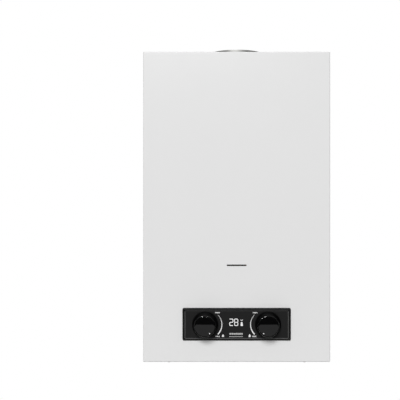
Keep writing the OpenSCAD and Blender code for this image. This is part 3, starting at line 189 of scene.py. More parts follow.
class Graph:
    """The node tree of a material or of the world."""

    def __init__(self, tree: bpy.types.NodeTree) -> None:
        """Start an empty tree."""
        tree.nodes.clear()
        self.tree = tree

    def node(
        self,
        kind: str,
        settings: dict[str, Any] | None = None,
        inputs: dict[str | int, Any] | None = None,
        output: str | int = 0,
    ) -> Signal | None:
        """Add a node.

        Args:
            kind: Blender's type name of the node.
            settings: properties to set first.
            inputs: values or signals for the node's sockets, by name or number.
            output: the socket to return.

        Returns:
            The chosen output, or nothing from a node that has none.
        """
        made = self.tree.nodes.new(kind)
        for key, value in (settings or {}).items():
            setattr(made, key, value)
        for key, value in (inputs or {}).items():
            socket = made.inputs[key]
            if isinstance(value, Signal):
                self.tree.links.new(value.socket, socket)
            else:
                socket.default_value = (*value, 1.0) if socket.type == "RGBA" else value
        return Signal(self, made.outputs[output]) if made.outputs else None

    def place(self) -> Signal:
        """Return the place on the surface, in metres in the row frame."""
        return self.node("ShaderNodeTexCoord", output="Object")

    def along(self, axis: Axis) -> Signal:
        """Return one coordinate of the place."""
        return self.node("ShaderNodeSeparateXYZ", inputs={0: self.place()}, output=axis.value)

    def mix(self, share: Signal, first: Signal | Rgb, second: Signal | Rgb) -> Signal:
        """Return a colour between two colours."""
        return self.node("ShaderNodeMix", {"data_type": "RGBA"}, {0: share, 6: first, 7: second}, 2)

    def bump(self, height: Signal, strength: float, depth: float) -> Signal:
        """Return a normal roughened by a height, with its strength and its depth in metres."""
        return self.node("ShaderNodeBump", inputs={"Height": height, "Strength": strength, "Distance": depth})


class Mask:
    """Where on a surface something shows, as a signal from 0 to 1."""

    def on(self, graph: Graph) -> Signal:
        """Return the mask's signal in a graph."""
        raise NotImplementedError


@dataclass(frozen=True)
class Grain(Mask):
    """Noise over a surface.

    Attributes:
        scale: waves to the metre.
        detail: finer noise added.
        stretch: scaling along each axis, for grain that runs one way.
        band: values between which the noise is drawn out to run from 0 to 1.
    """

    scale: float
    detail: float = 2.0
    stretch: Triple | None = None
    band: Point | None = None

    def on(self, graph: Graph) -> Signal:
        """Return the noise.

        Args:
            graph: the graph to add it to.

        Returns:
            The noise, from 0 to 1.
        """
        where = graph.place()
        if self.stretch:
            where = graph.node("ShaderNodeVectorMath", {"operation": "MULTIPLY"}, {0: where, 1: self.stretch})
        inputs = {"Vector": where, "Scale": self.scale, "Detail": self.detail}
        noise = graph.node("ShaderNodeTexNoise", inputs=inputs)
        return noise.rise(*self.band) if self.band else noise


@dataclass(frozen=True)
class Spangle(Mask):
    """Crystals of zinc, so many to the metre, each with one even value."""

    scale: float

    def on(self, graph: Graph) -> Signal:
        """Return the crystals.

        Args:
            graph: the graph to add them to.

        Returns:
            The value of each crystal, from 0 to 1.
        """
        inputs = {"Vector": graph.place(), "Scale": self.scale}
        colour = graph.node("ShaderNodeTexVoronoi", None, inputs, "Color")
        return graph.node("ShaderNodeSeparateColor", inputs={0: colour})


@dataclass(frozen=True)
class Slope(Mask):
    """A smooth step along an axis, from 0 at its start to 1 at its end."""

    axis: Axis
    start: float
    end: float

    def on(self, graph: Graph) -> Signal:
        """Return the step."""
        return graph.along(self.axis).rise(self.start, self.end)


@dataclass(frozen=True)
class Tint(Mask):
    """How far an uneven heat has gone from one tint to the next.

    Attributes:
        reach: where the flame heats.
        start: heat at which the next tint begins.
        end: heat at which it is full.
        flicker: how uneven the heat is.
        least: the heat without the flicker.
        spread: how much more the flicker brings.
    """

    reach: Slope
    start: float
    end: float
    flicker: Grain = Grain(60.0, 3.0)
    least: float = 0.75
    spread: float = 0.5

    def on(self, graph: Graph) -> Signal:
        """Return the share of the next tint."""
        heat = self.reach.on(graph) * (self.least + self.spread * self.flicker.on(graph))
        return heat.rise(self.start, self.end, smooth=False)


@dataclass(frozen=True)
class Lacquer(Mask):
    """A lacquered face, where the lacquer is a little thinner in its rubs."""

    face: Slope
    rub: Grain
    loss: float

    def on(self, graph: Graph) -> Signal:
        """Return the lacquer's weight."""
        return self.face.on(graph) * (1.0 - self.loss * self.rub.on(graph))


@dataclass(frozen=True)
class TubeEnds(Mask):
    """Brazed rings where the exchanger's tubes leave the chamber, on both sides."""

    reach: float = 0.1132
    half_width: float = 0.0022

    def on(self, graph: Graph) -> Signal:
        """Return the rings."""
        return abs(abs(graph.along(Axis.ACROSS)) - self.reach).rise(self.half_width, 0.0)


@dataclass(frozen=True)
class Tracks(Mask):
    """Tracks on a circuit board that stands upright."""

    scale: float = 60.0
    width: float = 0.018

    def on(self, graph: Graph) -> Signal:
        """Return the tracks.

        Args:
            graph: the graph to add them to.

        Returns:
            1 on the tracks and 0 between them.
        """
        turn = {0: graph.place(), "Angle": math.pi / 2}
        upright = graph.node("ShaderNodeVectorRotate", {"rotation_type": "X_AXIS"}, turn)
        inputs = {"Vector": upright, "Scale": self.scale, "Mortar Size": self.width}
        return graph.node("ShaderNodeTexBrick", None, inputs, 1)


@dataclass(frozen=True)
class CellBands(Mask):
    """A band round one end of each of two cells in line."""

    width: float = 0.012
    cell: float = 0.0615
    blur: float = 0.0004

    def on(self, graph: Graph) -> Signal:
        """Return the bands.

        Args:
            graph: the graph to add them to.

        Returns:
            1 on the bands and 0 beside them.
        """
        across, start = graph.along(Axis.ACROSS), self.cell - self.width
        first = across.rise(-self.width, self.blur - self.width) * across.rise(self.blur, 0.0)
        return first.larger(across.rise(start, start + self.blur))


@dataclass(frozen=True)
class Layer:
    """What lies on a finish where a mask shows.

    Attributes:
        mask: where it lies.
        tone: its colour, or a factor on the finish's own colour; none leaves the colour below.
        share: how much of the colour below it covers.
        rough: change of roughness.
        mean: the mask's value that leaves the roughness as it is.
        metal: change of the metal's share.
        coat: change of the clear coat's weight.
        lift: its share of the relief.
    """

    mask: Mask
    tone: Rgb | float | None = None
    share: float = 1.0
    rough: float = 0.0
    mean: float = 0.0
    metal: float = 0.0
    coat: float = 0.0
    lift: float = 0.0

    def colour(self, own: Rgb) -> Rgb:
        """Return the layer's colour on a finish with a colour of its own."""
        return shade(own, self.tone) if isinstance(self.tone, float) else self.tone

    def changes(self) -> list[tuple[str, float, float]]:
        """List the sockets of the surface shader that the layer changes.

        Returns:
            Each socket, by how much it changes, and the mask's value that leaves it as it is.
        """
        every = (
            ("Roughness", self.rough, self.mean),
            ("Metallic", self.metal, 0.0),
            ("Coat Weight", self.coat, 0.0),
        )
        return [row for row in every if row[1]]


@dataclass(frozen=True)
class Finish:
    """A finish of the heater.

    Attributes:
        name: what the finish is called.
        tone: linear base colour.
        rough: roughness of the bare finish.
        layers: what lies on it, from the bottom up.
        ground: factor on the colour under the layers.
        metal: share of metal.
        coat: weight of a clear coat.
        reflect: level of the plain reflection.
        relief: strength of the relief, and its depth in metres.
        glow: strength of the light that it gives off.
        fixed: other values of the surface shader.
    """

    name: str
    tone: Rgb
    rough: float
    layers: tuple[Layer, ...] = ()
    ground: float = 1.0
    metal: float = 0.0
    coat: float = 0.0
    reflect: float = 0.5
    relief: Point = (0.0, 0.0)
    glow: float = 0.0
    fixed: tuple[tuple[str, float], ...] = ()

    def paint(self, graph: Graph) -> dict[str, Any]:
        """Lay the layers on the bare finish.

        Args:
            graph: the graph to add them to.

        Returns:
            A value or a signal for each socket of the surface shader, by its name.
        """
        colour, height = shade(self.tone, self.ground), 0.0
        sockets = {
            "Roughness": self.rough,
            "Metallic": self.metal,
            "Coat Weight": self.coat,
            "Specular IOR Level": self.reflect,
            **dict(self.fixed),
        }
        for layer in self.layers:
            mask = layer.mask.on(graph)
            if layer.tone is not None:
                colour = graph.mix(layer.share * mask, colour, layer.colour(self.tone))
            for socket, change, mean in layer.changes():
                sockets[socket] = sockets[socket] + change * (mask - mean)
            if layer.lift:
                height = height + layer.lift * mask
        if isinstance(height, Signal):
            sockets["Normal"] = graph.bump(height, *self.relief)
        if self.glow:
            sockets |= {"Emission Color": colour, "Emission Strength": self.glow}
        return {"Base Color": colour, **sockets}

    def material(self) -> bpy.types.Material:
        """Make the finish's material on first use.

        Returns:
            The material.
        """
        found = bpy.data.materials.get(self.name)
        if found is None:
            found = bpy.data.materials.new(self.name)
            found.use_nodes = True
            graph = Graph(found.node_tree)
            shader = graph.node("ShaderNodeBsdfPrincipled", inputs=self.paint(graph))
            graph.node("ShaderNodeOutputMaterial", inputs={"Surface": shader})
        return found


def turning(tarnish: Rgb) -> tuple[Layer, ...]:
    """Return a light tarnish in patches, and fine turning marks."""
    patches = Layer(Grain(70.0, 4.0, band=(0.5, 0.78)), tone=tarnish, share=0.6, rough=0.18, metal=-0.15)
    return patches, Layer(Grain(900.0, 1.0), rough=0.14, mean=0.5, lift=1.0)


def flame_tint(reach: Slope) -> tuple[Layer, ...]:
    """Return straw, purple and blue tints under a drawn grain.

    Args:
        reach: where the flame heats.

    Returns:
        The layers, from the bottom up.
    """
    tints = (
        Layer(Tint(reach, 0.0, 0.45), tone=(0.55, 0.42, 0.22)),
        Layer(Tint(reach, 0.45, 0.75), tone=(0.32, 0.2, 0.24)),
        Layer(Tint(reach, 0.75, 1.0), tone=(0.18, 0.2, 0.32)),
    )
    drawn = Grain(50.0, 3.0, stretch=(1.0, 1.0, 18.0))
    return *tints, Layer(drawn, tone=0.8, share=0.3, rough=0.2, mean=0.5, lift=1.0), Layer(reach, rough=0.12)


@dataclass(frozen=True)
class TurnedMetal(Finish):
    """Machined metal, which is brass unless its tarnish is set."""

    layers: tuple[Layer, ...] = turning((0.3, 0.2, 0.09))
    metal: float = 1.0
    relief: Point = (0.1, 0.00005)


@dataclass(frozen=True)
class CastMetal(Finish):
    """Sand-grained casting with dark stains."""

    layers: tuple[Layer, ...] = (
        Layer(Grain(700.0, 3.0), tone=1.0, rough=0.2, mean=0.5, lift=1.0),
        Layer(Grain(45.0, 4.0, band=(0.42, 0.75)), tone=0.55, share=0.55, rough=0.1, metal=-0.2),
    )
    ground: float = 0.85
    metal: float = 1.0
    relief: Point = (0.35, 0.00018)


@dataclass(frozen=True)
class HeatTintedSteel(Finish):
    """Drawn stainless steel that the flame has tinted, from the burner's height up unless set."""

    layers: tuple[Layer, ...] = flame_tint(Slope(Axis.UP, -0.128, -0.1145))
    metal: float = 1.0
    relief: Point = (0.15, 0.00008)


@dataclass(frozen=True)
class GlossPlastic(Finish):
    """Polished moulded plastic with a few hairline rubs and dust."""

    layers: tuple[Layer, ...] = (
        Layer(Grain(70.0, 5.0, stretch=(1.0, 3.0, 9.0)), rough=0.04, lift=1.0),
        Layer(Grain(1500.0, 1.0, band=(0.72, 0.86)), tone=1.6, rough=0.05),
    )
    relief: Point = (0.01, 0.00005)


@dataclass(frozen=True)
class GrainedPlastic(Finish):
    """Moulded plastic with flow marks and a fine spark-eroded grain."""

    layers: tuple[Layer, ...] = (
        Layer(Grain(14.0, 3.0), tone=1.08),
        Layer(Grain(1100.0), rough=0.12, mean=0.5, lift=1.0),
    )
    ground: float = 0.9
    relief: Point = (0.25, 0.00008)


@dataclass(frozen=True)
class Rubber(Finish):
    """Moulded rubber or silicone with a bloom on it."""

    layers: tuple[Layer, ...] = (
        Layer(Grain(55.0, 4.0, band=(0.4, 0.8)), tone=1.5, share=0.5, rough=0.12),
        Layer(Grain(1300.0), lift=1.0),
    )
    relief: Point = (0.2, 0.00006)


@dataclass(frozen=True)
class Ink(Finish):
    """Screen-printed ink, a little thin in places, or a lit segment behind the panel."""

    layers: tuple[Layer, ...] = (Layer(Grain(900.0), tone=1.03, rough=0.1, mean=0.5),)
    ground: float = 0.93


# Sprayed gloss enamel, a little cloudy and smeared by hands, with orange peel.
WHITE_ENAMEL = Finish(
    "white_enamel_coat", (0.8, 0.8, 0.8), 0.24, ground=0.985, reflect=0.25, relief=(0.06, 0.00012),
    layers=(
        Layer(Grain(5.0, 3.0), tone=1.01),
        Layer(Grain(38.0, 4.0), rough=0.06, mean=0.5),
        Layer(Grain(650.0, 1.0), lift=1.0),
    ),
)
# Galvanised sheet with a spangle of crystals, drawn scratches and dull patches.
ZINC = Finish(
    "galvanised_sheet", (0.62, 0.63, 0.64), 0.42, ground=0.92, metal=1.0, relief=(0.12, 0.0001),
    layers=(
        Layer(Spangle(190.0), tone=1.05, rough=0.12, mean=0.5, lift=0.4),
        Layer(Grain(60.0, 3.0, stretch=(14.0, 14.0, 0.6)), rough=0.14, mean=0.5, lift=0.6),
        Layer(Grain(9.0, 4.0, band=(0.5, 0.75)), tone=0.78, share=0.5, metal=-0.35),
    ),
)
# Bare rolled sheet, brushed round the way it was formed, with stains.
COLLAR_SHEET = Finish(
    "rolled_collar_sheet", (0.42, 0.42, 0.41), 0.55, ground=0.9, metal=1.0, relief=(0.15, 0.00008),
    layers=(
        Layer(Grain(40.0, 4.0, stretch=(1.2, 1.2, 30.0)), tone=1.08, rough=0.2, mean=0.5, lift=1.0),
        Layer(Grain(24.0, 4.0, band=(0.52, 0.8)), tone=0.7, share=0.6, rough=0.12, metal=-0.2),
    ),
)
# Drawn copper that has browned in patches, with silver braze at the tube ends.
COPPER = Finish(
    "aged_copper", (0.78, 0.4, 0.26), 0.28, metal=1.0, relief=(0.12, 0.00008),
    layers=(
        Layer(Grain(22.0, 5.0, band=(0.46, 0.72)), (0.16, 0.07, 0.045), share=0.75, rough=0.22, metal=-0.25),
        Layer(Grain(420.0), rough=0.1, mean=0.5, lift=1.0),
        Layer(TubeEnds(), tone=(0.62, 0.58, 0.5)),
    ),
)
# Glazed ceramic with fine specks, smoked towards the flame.
INSULATOR = Finish(
    "insulator_glaze", (0.86, 0.84, 0.79), 0.16, coat=0.6,
    layers=(
        Layer(Grain(1600.0, 1.0, band=(0.7, 0.8)), tone=0.6, share=0.4),
        Layer(Slope(Axis.DEPTH, -0.134, -0.124), (0.22, 0.17, 0.13), share=0.6, rough=0.3, coat=-0.5),
    ),
)
# Black plastic, satin on the knob's side and lacquered on its face.
KNOB_RUB = Grain(80.0, 5.0)
KNOB_BLACK = Finish(
    "lacquered_knob_black", (0.0014, 0.0014, 0.0015), 0.45, reflect=0.012,
    layers=(
        Layer(KNOB_RUB, tone=1.5),
        Layer(Grain(1400.0), rough=0.1, mean=0.5),
        Layer(Lacquer(Slope(Axis.DEPTH, -0.1911, -0.1917), KNOB_RUB, 0.05), coat=1.0),
    ),
    fixed=(("Coat Roughness", 0.015), ("Coat IOR", 1.34)),
)
# Solder mask with paler tracks under it.
BOARD_GREEN = Finish(
    "solder_mask", (0.015, 0.11, 0.04), 0.3, relief=(0.3, 0.00008),
    layers=(Layer(Tracks(), tone=(0.08, 0.3, 0.12), lift=1.0), Layer(Grain(300.0), rough=0.1)),
)
# Plain shrink wrap with a paler band round one end.
CELL_WRAP = Finish(
    "cell_wrap_plain", (0.06, 0.12, 0.09), 0.3, metal=0.4,
    layers=(Layer(CellBands(), tone=(0.62, 0.5, 0.28)), Layer(Grain(120.0), rough=0.1)),
)
# A grey line of painted highlight round the fascia's edge, darkened towards the top of the panel as painted
# shade.
RIM_HIGHLIGHT = Finish(
    "painted_rim_highlight", even(102), 0.3,
    # The slope darkens the line towards the top as painted shade.
    layers=(Layer(Slope(Axis.UP, -0.186, -0.182), tone=0.3), Layer(Grain(260.0, 3.0), rough=0.2, mean=0.5)),
)
# Clear heat-resistant glass with a trace of haze.
SIGHT_PANE = Finish(
    "sight_pane", (0.8, 0.86, 0.85), 0.05, fixed=(("Transmission Weight", 1.0), ("IOR", 1.47)),
    layers=(Layer(Grain(160.0, 4.0, band=(0.35, 0.8)), tone=0.75, share=0.3, rough=0.1),),
)
SCREW_STEEL = TurnedMetal("plated_screw_steel", (0.55, 0.55, 0.57), 0.32, turning((0.3, 0.3, 0.31)))
BRASS = TurnedMetal("turned_brass", (0.75, 0.56, 0.26), 0.26)
CONTACT = TurnedMetal("sprung_contact", (0.78, 0.64, 0.36), 0.25)
CAST_BRASS = CastMetal("cast_brass_body", (0.68, 0.5, 0.25), 0.42)
CAST_ALUMINIUM = CastMetal("cast_aluminium_body", (0.66, 0.66, 0.66), 0.46)
BURNER_STEEL = HeatTintedSteel("burner_sheet", (0.56, 0.54, 0.51), 0.34)
WIRE_TINT = flame_tint(Slope(Axis.UP, -0.1, -0.112))
ELECTRODE_WIRE = HeatTintedSteel("electrode_wire", (0.42, 0.42, 0.42), 0.4, WIRE_TINT)
BLACK_RUBBER = Rubber("black_rubber", (0.02, 0.02, 0.02), 0.66)
LEAD_SILICONE = Rubber("red_silicone", (0.38, 0.03, 0.02), 0.5)
BEZEL_BLACK = GlossPlastic("bezel_black", (0.0025, 0.0025, 0.0026), 0.3, reflect=0.06)
DISPLAY_DARK = GlossPlastic("display_window", (0.02, 0.02, 0.022), 0.2)
FASCIA_BLACK = GrainedPlastic("fascia_black", even(24), 0.42, reflect=0.18, relief=(0.05, 0.00008))
DARK_PLASTIC = GrainedPlastic("dark_moulding", (0.022, 0.022, 0.023), 0.55)
GREY_PLASTIC = GrainedPlastic("grey_moulding", (0.2, 0.2, 0.21), 0.5)
WHITE_PLASTIC = GrainedPlastic("white_moulding", (0.72, 0.72, 0.69), 0.48)
WHITE_INK = Ink("printed_white", even(244), 0.5)
LIT_WHITE = Ink("lit_white", even(238), 0.4, glow=0.2)
DIM_INK = Ink("printed_pale_grey", even(205), 0.5)
FAINT_INK = Ink("printed_mid_grey", even(195), 0.5)

Coats = tuple[tuple[Finish, tuple[str, ...]], ...]


def dress(finish: Finish, *nodes: str) -> None:
    """Give CAD nodes a finish.

    Args:
        finish: the finish.
        nodes: the names of the nodes.
    """
    for node in nodes:
        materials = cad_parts[node].data.materials
        materials.clear()
        materials.append(finish.material())
        log.info("node %s dressed in %s", node, finish.name)


def show(name: str, form: bmesh.types.BMesh, coat: bpy.types.Material, smooth: bool) -> bpy.types.Object:
    """Add an object to the scene.

    Args:
        name: what it is called.
        form: its shape, in the row frame, which is freed.
        coat: its material.
        smooth: whether its shallow edges are shaded as curves.

    Returns:
        The new object.
    """
    mesh = bpy.data.meshes.new(name)
    form.to_mesh(mesh)
    form.free()
    if smooth:
        mesh.shade_smooth()
        mesh.set_sharp_from_angle(angle=CREASE)
    mesh.materials.append(coat)
    made = bpy.data.objects.new(name, mesh)
    bpy.context.scene.collection.objects.link(made)
    return made


def add_piece(
    name: str, form: bmesh.types.BMesh, body: Body, finish: Finish, smooth: bool = False
) -> bpy.types.Object:
    """Add a piece of the heater and let it ride on a body.

    Args:
        name: the piece's name.
        form: its shape, in the row frame, which is freed.
        body: the body that it moves with.
        finish: its finish.
        smooth: whether its shallow edges are shaded as curves.

    Returns:
        The new object.
    """
    bmesh.ops.recalc_face_normals(form, faces=form.faces)
    made = show(name, form, finish.material(), smooth)
    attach(made, body.value)
    log.info("piece %s rides on %s", name, body.value)
    return made


def arc(centre: Point, radius: float, start: float, end: float, steps: int) -> Loop:
    """Return points along an arc.

    Args:
        centre: middle of the arc.
        radius: its radius.
        start: first angle in degrees, from the right and turning up.
        end: last angle in degrees.
        steps: number of pieces.

    Returns:
        One point more than there are pieces.
    """
    turns = [math.radians(start + (end - start) * i / steps) for i in range(steps + 1)]
    return [(centre[0] + radius * math.cos(turn), centre[1] + radius * math.sin(turn)) for turn in turns]


def disc(centre: Point, radius: float, steps: int = 24) -> Loop:
    """Return the outline of a disc."""
    return arc(centre, radius, 0.0, 360.0 * (steps - 1) / steps, steps - 1)


def rounded_bar(low: Point, high: Point, radius: float, steps: int = 5) -> Loop:
    """Return the outline of an upright rectangle with round corners.

    Args:
        low: its lower left corner.
        high: its upper right corner.
        radius: radius of the corners.
        steps: pieces to each corner.

    Returns:
        The outline.
    """
    left, right = low[0] + radius, high[0] - radius
    bottom, top = low[1] + radius, high[1] - radius
    corners = (((right, top), 0), ((left, top), 90), ((left, bottom), 180), ((right, bottom), 270))
    return [point for centre, turn in corners for point in arc(centre, radius, turn, turn + 90, steps)]


def rounded_path(corners: Loop, radius: float, steps: int = 5) -> Loop:
    """Return an open line through corners that are rounded off.

    Args:
        corners: the line's ends and corners.
        radius: how far before and after a corner its curve runs.
        steps: pieces to each curve.

    Returns:
        The points of the line.
    """
    path = [corners[0]]
    for before, corner, after in zip(corners, corners[1:], corners[2:]):
        start = Vector(corner) + (Vector(before) - Vector(corner)).normalized() * radius
        end = Vector(corner) + (Vector(after) - Vector(corner)).normalized() * radius
        for i in range(steps + 1):
            share = i / steps
            bent = start * (1 - share) ** 2 + Vector(corner) * 2 * share * (1 - share) + end * share ** 2
            path.append((bent.x, bent.y))
    return path + [corners[-1]]


def join_rings(form: bmesh.types.BMesh, *rings: Ring) -> None:
    """Add faces from each closed ring to the next.

    Args:
        form: the shape that the rings belong to.
        rings: the rings, with equal numbers of points; a pole is a ring of one.
    """
    for low, high in zip(rings, rings[1:]):
        steps = max(len(low), len(high))
        for i in range(steps):
            k = (i + 1) % steps
            corners = (low[i % len(low)], low[k % len(low)], high[k % len(high)], high[i % len(high)])
            form.faces.new(list(dict.fromkeys(corners)))


def lathe(profile: Loop, centre: Point, back: float, steps: int = 96) -> bmesh.types.BMesh:
    """Return a turned form whose axis points to the front.

    Args:
        profile: radius and height above the back, from one pole to the other.
        centre: the axis, across and up.
        back: depth of the form's back.
        steps: pieces round the form.

    Returns:
        The form, in metres in the row frame.
    """
    form = bmesh.new()
    rings = []
    for radius, height in profile:
        ring = [centre] if radius == 0 else disc(centre, radius, steps)
        rings.append([form.verts.new(spot(x, back - height, z)) for x, z in ring])
    join_rings(form, *rings)
    return form


@dataclass
class Flat:
    """Flat shapes seen from the front: points across and up, and the faces between them."""

    points: Loop = field(default_factory=list)
    faces: list[tuple[int, ...]] = field(default_factory=list)

    def add(self, points: Loop, faces: list[tuple[int, ...]]) -> "Flat":
        """Add a shape.

        Args:
            points: its points.
            faces: its faces, by the numbers of their points.

        Returns:
            The same shapes.
        """
        first = len(self.points)
        self.points.extend(points)
        self.faces.extend(tuple(first + number for number in face) for face in faces)
        return self

    def outlines(self, *loops: Loop) -> "Flat":
        """Add shapes by their outlines.

        Args:
            loops: the outlines.

        Returns:
            The same shapes.
        """
        for loop in loops:
            self.add(loop, [tuple(range(len(loop)))])
        return self

    def ribbon(self, line: Loop, first: float, last: float, closed: bool = False) -> "Flat":
        """Add a stroke along a line.

        Args:
            line: the middle of the stroke.
            first: its width at the start.
            last: its width at the end.
            closed: whether the line runs back to its start.

        Returns:
            The same shapes.
        """
        count = len(line)
        points = []
        for i, (x, z) in enumerate(line):
            ahead = line[(i + 1) % count] if closed else line[min(i + 1, count - 1)]
            behind = line[i - 1] if closed else line[max(i - 1, 0)]
            way = (Vector(ahead) - Vector(behind)).normalized()
            half = (first + (last - first) * i / (count - 1)) / 2
            points += [(x - way.y * half, z + way.x * half), (x + way.y * half, z - way.x * half)]
        pieces = count if closed else count - 1
        size = 2 * count
        faces = [(2 * i, 2 * i + 1, (2 * i + 3) % size, (2 * i + 2) % size) for i in range(pieces)]
        return self.add(points, faces)

    def word(self, text: str, centre: Point, size: Point, bold: float = 0.034) -> "Flat":
        """Add a word fitted to a box.

        Args:
            text: the word.
            centre: middle of the box.
            size: width and height of the box.
            bold: how far its strokes are thickened, as a share of the letter size.

        Returns:
            The same shapes.
        """
        curve = bpy.data.curves.new(text, "FONT")
        curve.body = text
        curve.offset = bold
        holder = bpy.data.objects.new(text, curve)
        mesh = holder.to_mesh()
        points = [(vertex.co.x, vertex.co.y) for vertex in mesh.vertices]
        faces = [tuple(polygon.vertices) for polygon in mesh.polygons]
        holder.to_mesh_clear()
        bpy.data.objects.remove(holder)
        bpy.data.curves.remove(curve)
        low = [min(point[i] for point in points) for i in (0, 1)]
        high = [max(point[i] for point in points) for i in (0, 1)]
        fitted = [
            tuple(centre[i] + size[i] * ((point[i] - low[i]) / (high[i] - low[i]) - 0.5) for i in (0, 1))
            for point in points
        ]
        return self.add(fitted, faces)

    def raised(
        self, depth_at: Callable[[float, float], float], thickness: float, sink: float = 0.02
    ) -> bmesh.types.BMesh:
        """Return the shapes as thin plates that face the front.

        Args:
            depth_at: the depth of the surface under a point across and up.
            thickness: how far the plates stand out of that surface.
            sink: how far they reach into it.

        Returns:
            The plates, in metres in the row frame.
        """
        form = bmesh.new()
        front = [form.verts.new(spot(x, depth_at(x, z) - thickness, z)) for x, z in self.points]
        back = [form.verts.new(spot(x, depth_at(x, z) + sink, z)) for x, z in self.points]
        edges: dict[tuple[int, int], int] = {}
        for face in self.faces:
            form.faces.new([front[i] for i in face])
            form.faces.new([back[i] for i in reversed(face)])
            for pair in zip(face, face[1:] + face[:1]):
                key = tuple(sorted(pair))
                edges[key] = edges.get(key, 0) + 1
        for (i, k), uses in edges.items():
            if uses == 1:
                form.faces.new((front[i], back[i], back[k], front[k]))
        return form


@dataclass(frozen=True)
class BarRow:
    """A row of upright bars with round corners.

    Attributes:
        low: height of their lower ends.
        high: height of their upper ends.
        width: width of each bar.
        pitch: distance from bar to bar.
        count: number of bars.
        middle: middle of the row.
        rounding: radius of the corners, as a share of the width.
    """

    low: float
    high: float
    width: float
    pitch: float
    count: int
    middle: float = 0.0
    rounding: float = 0.3

    def shapes(self) -> Flat:
        """Draw the row.

        Returns:
            The bars.
        """
        first = self.middle - self.pitch * (self.count - 1) / 2
        half, radius = self.width / 2, self.rounding * self.width
        middles = [first + i * self.pitch for i in range(self.count)]
        bars = [rounded_bar((x - half, self.low), (x + half, self.high), radius) for x in middles]
        return Flat().outlines(*bars)


@dataclass
class Assembly:
    """A sub-assembly of the heater.

    Attributes:
        coats: the finishes of its CAD nodes.
    """

    coats: Coats = ()

    def build(self) -> None:
        """Add the pieces that the CAD frame leaves to the scene, if there are any."""

    def dress(self) -> None:
        """Give the CAD nodes their finishes."""
        for finish, nodes in self.coats:
            dress(finish, *nodes)


@dataclass
class Knob:
    """A tapered control knob, turned with its hub, and the pointer dot on its face.

    The knob's name is also the name of its CAD node.
    """

    name: str
    side: Side
    body: Body
    offset: float = 55.1
    height: float = 66.9
    back: float = -170.7
    length: float = 23.0
    base: float = 22.85
    skirt: float = 2.5
    face: float = 18.7
    edge: float = 2.4
    edge_end: float = 84.0
    dome_radius: float = 300.0
    steps: int = 8
    wall: float = 2.2
    roof: float = 3.2
    hub: float = 7.0
    bore: float = 4.05
    bore_depth: float = 15.0
    dot_reach: float = 14.5
    dot_angle: float = -54.0
    dot_radius: float = 1.0
    dot_raise: float = 0.08

    def centre(self) -> Point:
        """Return the knob's axis, across and up."""
        return (self.side.value * self.offset, self.height)

    def dome(self, radius: float) -> float:
        """Return the height of the face at a distance from the axis."""
        return self.length - radius ** 2 / (2 * self.dome_radius)

    def depth_at(self, x: float, z: float) -> float:
        """Return the depth of the domed face at a point."""
        return self.back - self.dome(math.dist((x, z), self.centre()))

    def profile(self) -> Loop:
        """Draw the knob's section.

        Returns:
            Radius and height, from the end of the bore to the middle of the face.
        """
        cave = self.length - self.roof
        middle = (self.face - self.edge, self.dome(self.face - self.edge) - self.edge)
        foot = (self.base - middle[0], self.skirt - middle[1])
        lean = math.degrees(math.atan2(foot[1], foot[0]) + math.acos(self.edge / math.hypot(*foot)))
        edge = arc(middle, self.edge, lean, self.edge_end, self.steps)
        radii = [edge[-1][0] * i / self.steps for i in reversed(range(self.steps))]
        inside = [
            (0.0, self.bore_depth), (self.bore, self.bore_depth), (self.bore, 0.0),
            (self.hub, 0.0), (self.hub, cave), (self.face - self.wall, cave),
            (self.base - self.wall, self.skirt), (self.base - self.wall, 0.0),
        ]
        outside = [(self.base, 0.0), (self.base, self.skirt), *edge]
        return inside + outside + [(radius, self.dome(radius)) for radius in radii]

    def build(self) -> None:
        """Turn the knob and print the dot on its face."""
        cx, cz = self.centre()
        form = lathe(self.profile(), (cx, cz), self.back)
        turned = add_piece(f"{self.name}_turned", form, self.body, KNOB_BLACK, smooth=True)
        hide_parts(self.name)
        turn = math.radians(self.dot_angle)
        at = (cx - self.side.value * self.dot_reach * math.cos(turn), cz + self.dot_reach * math.sin(turn))
        dot = Flat().outlines(disc(at, self.dot_radius)).raised(self.depth_at, self.dot_raise)
        add_piece(f"{self.name}_pointer", dot, self.body, WHITE_INK)

    def dress(self) -> None:
        """Give the CAD knob its finish."""
        dress(KNOB_BLACK, self.name)


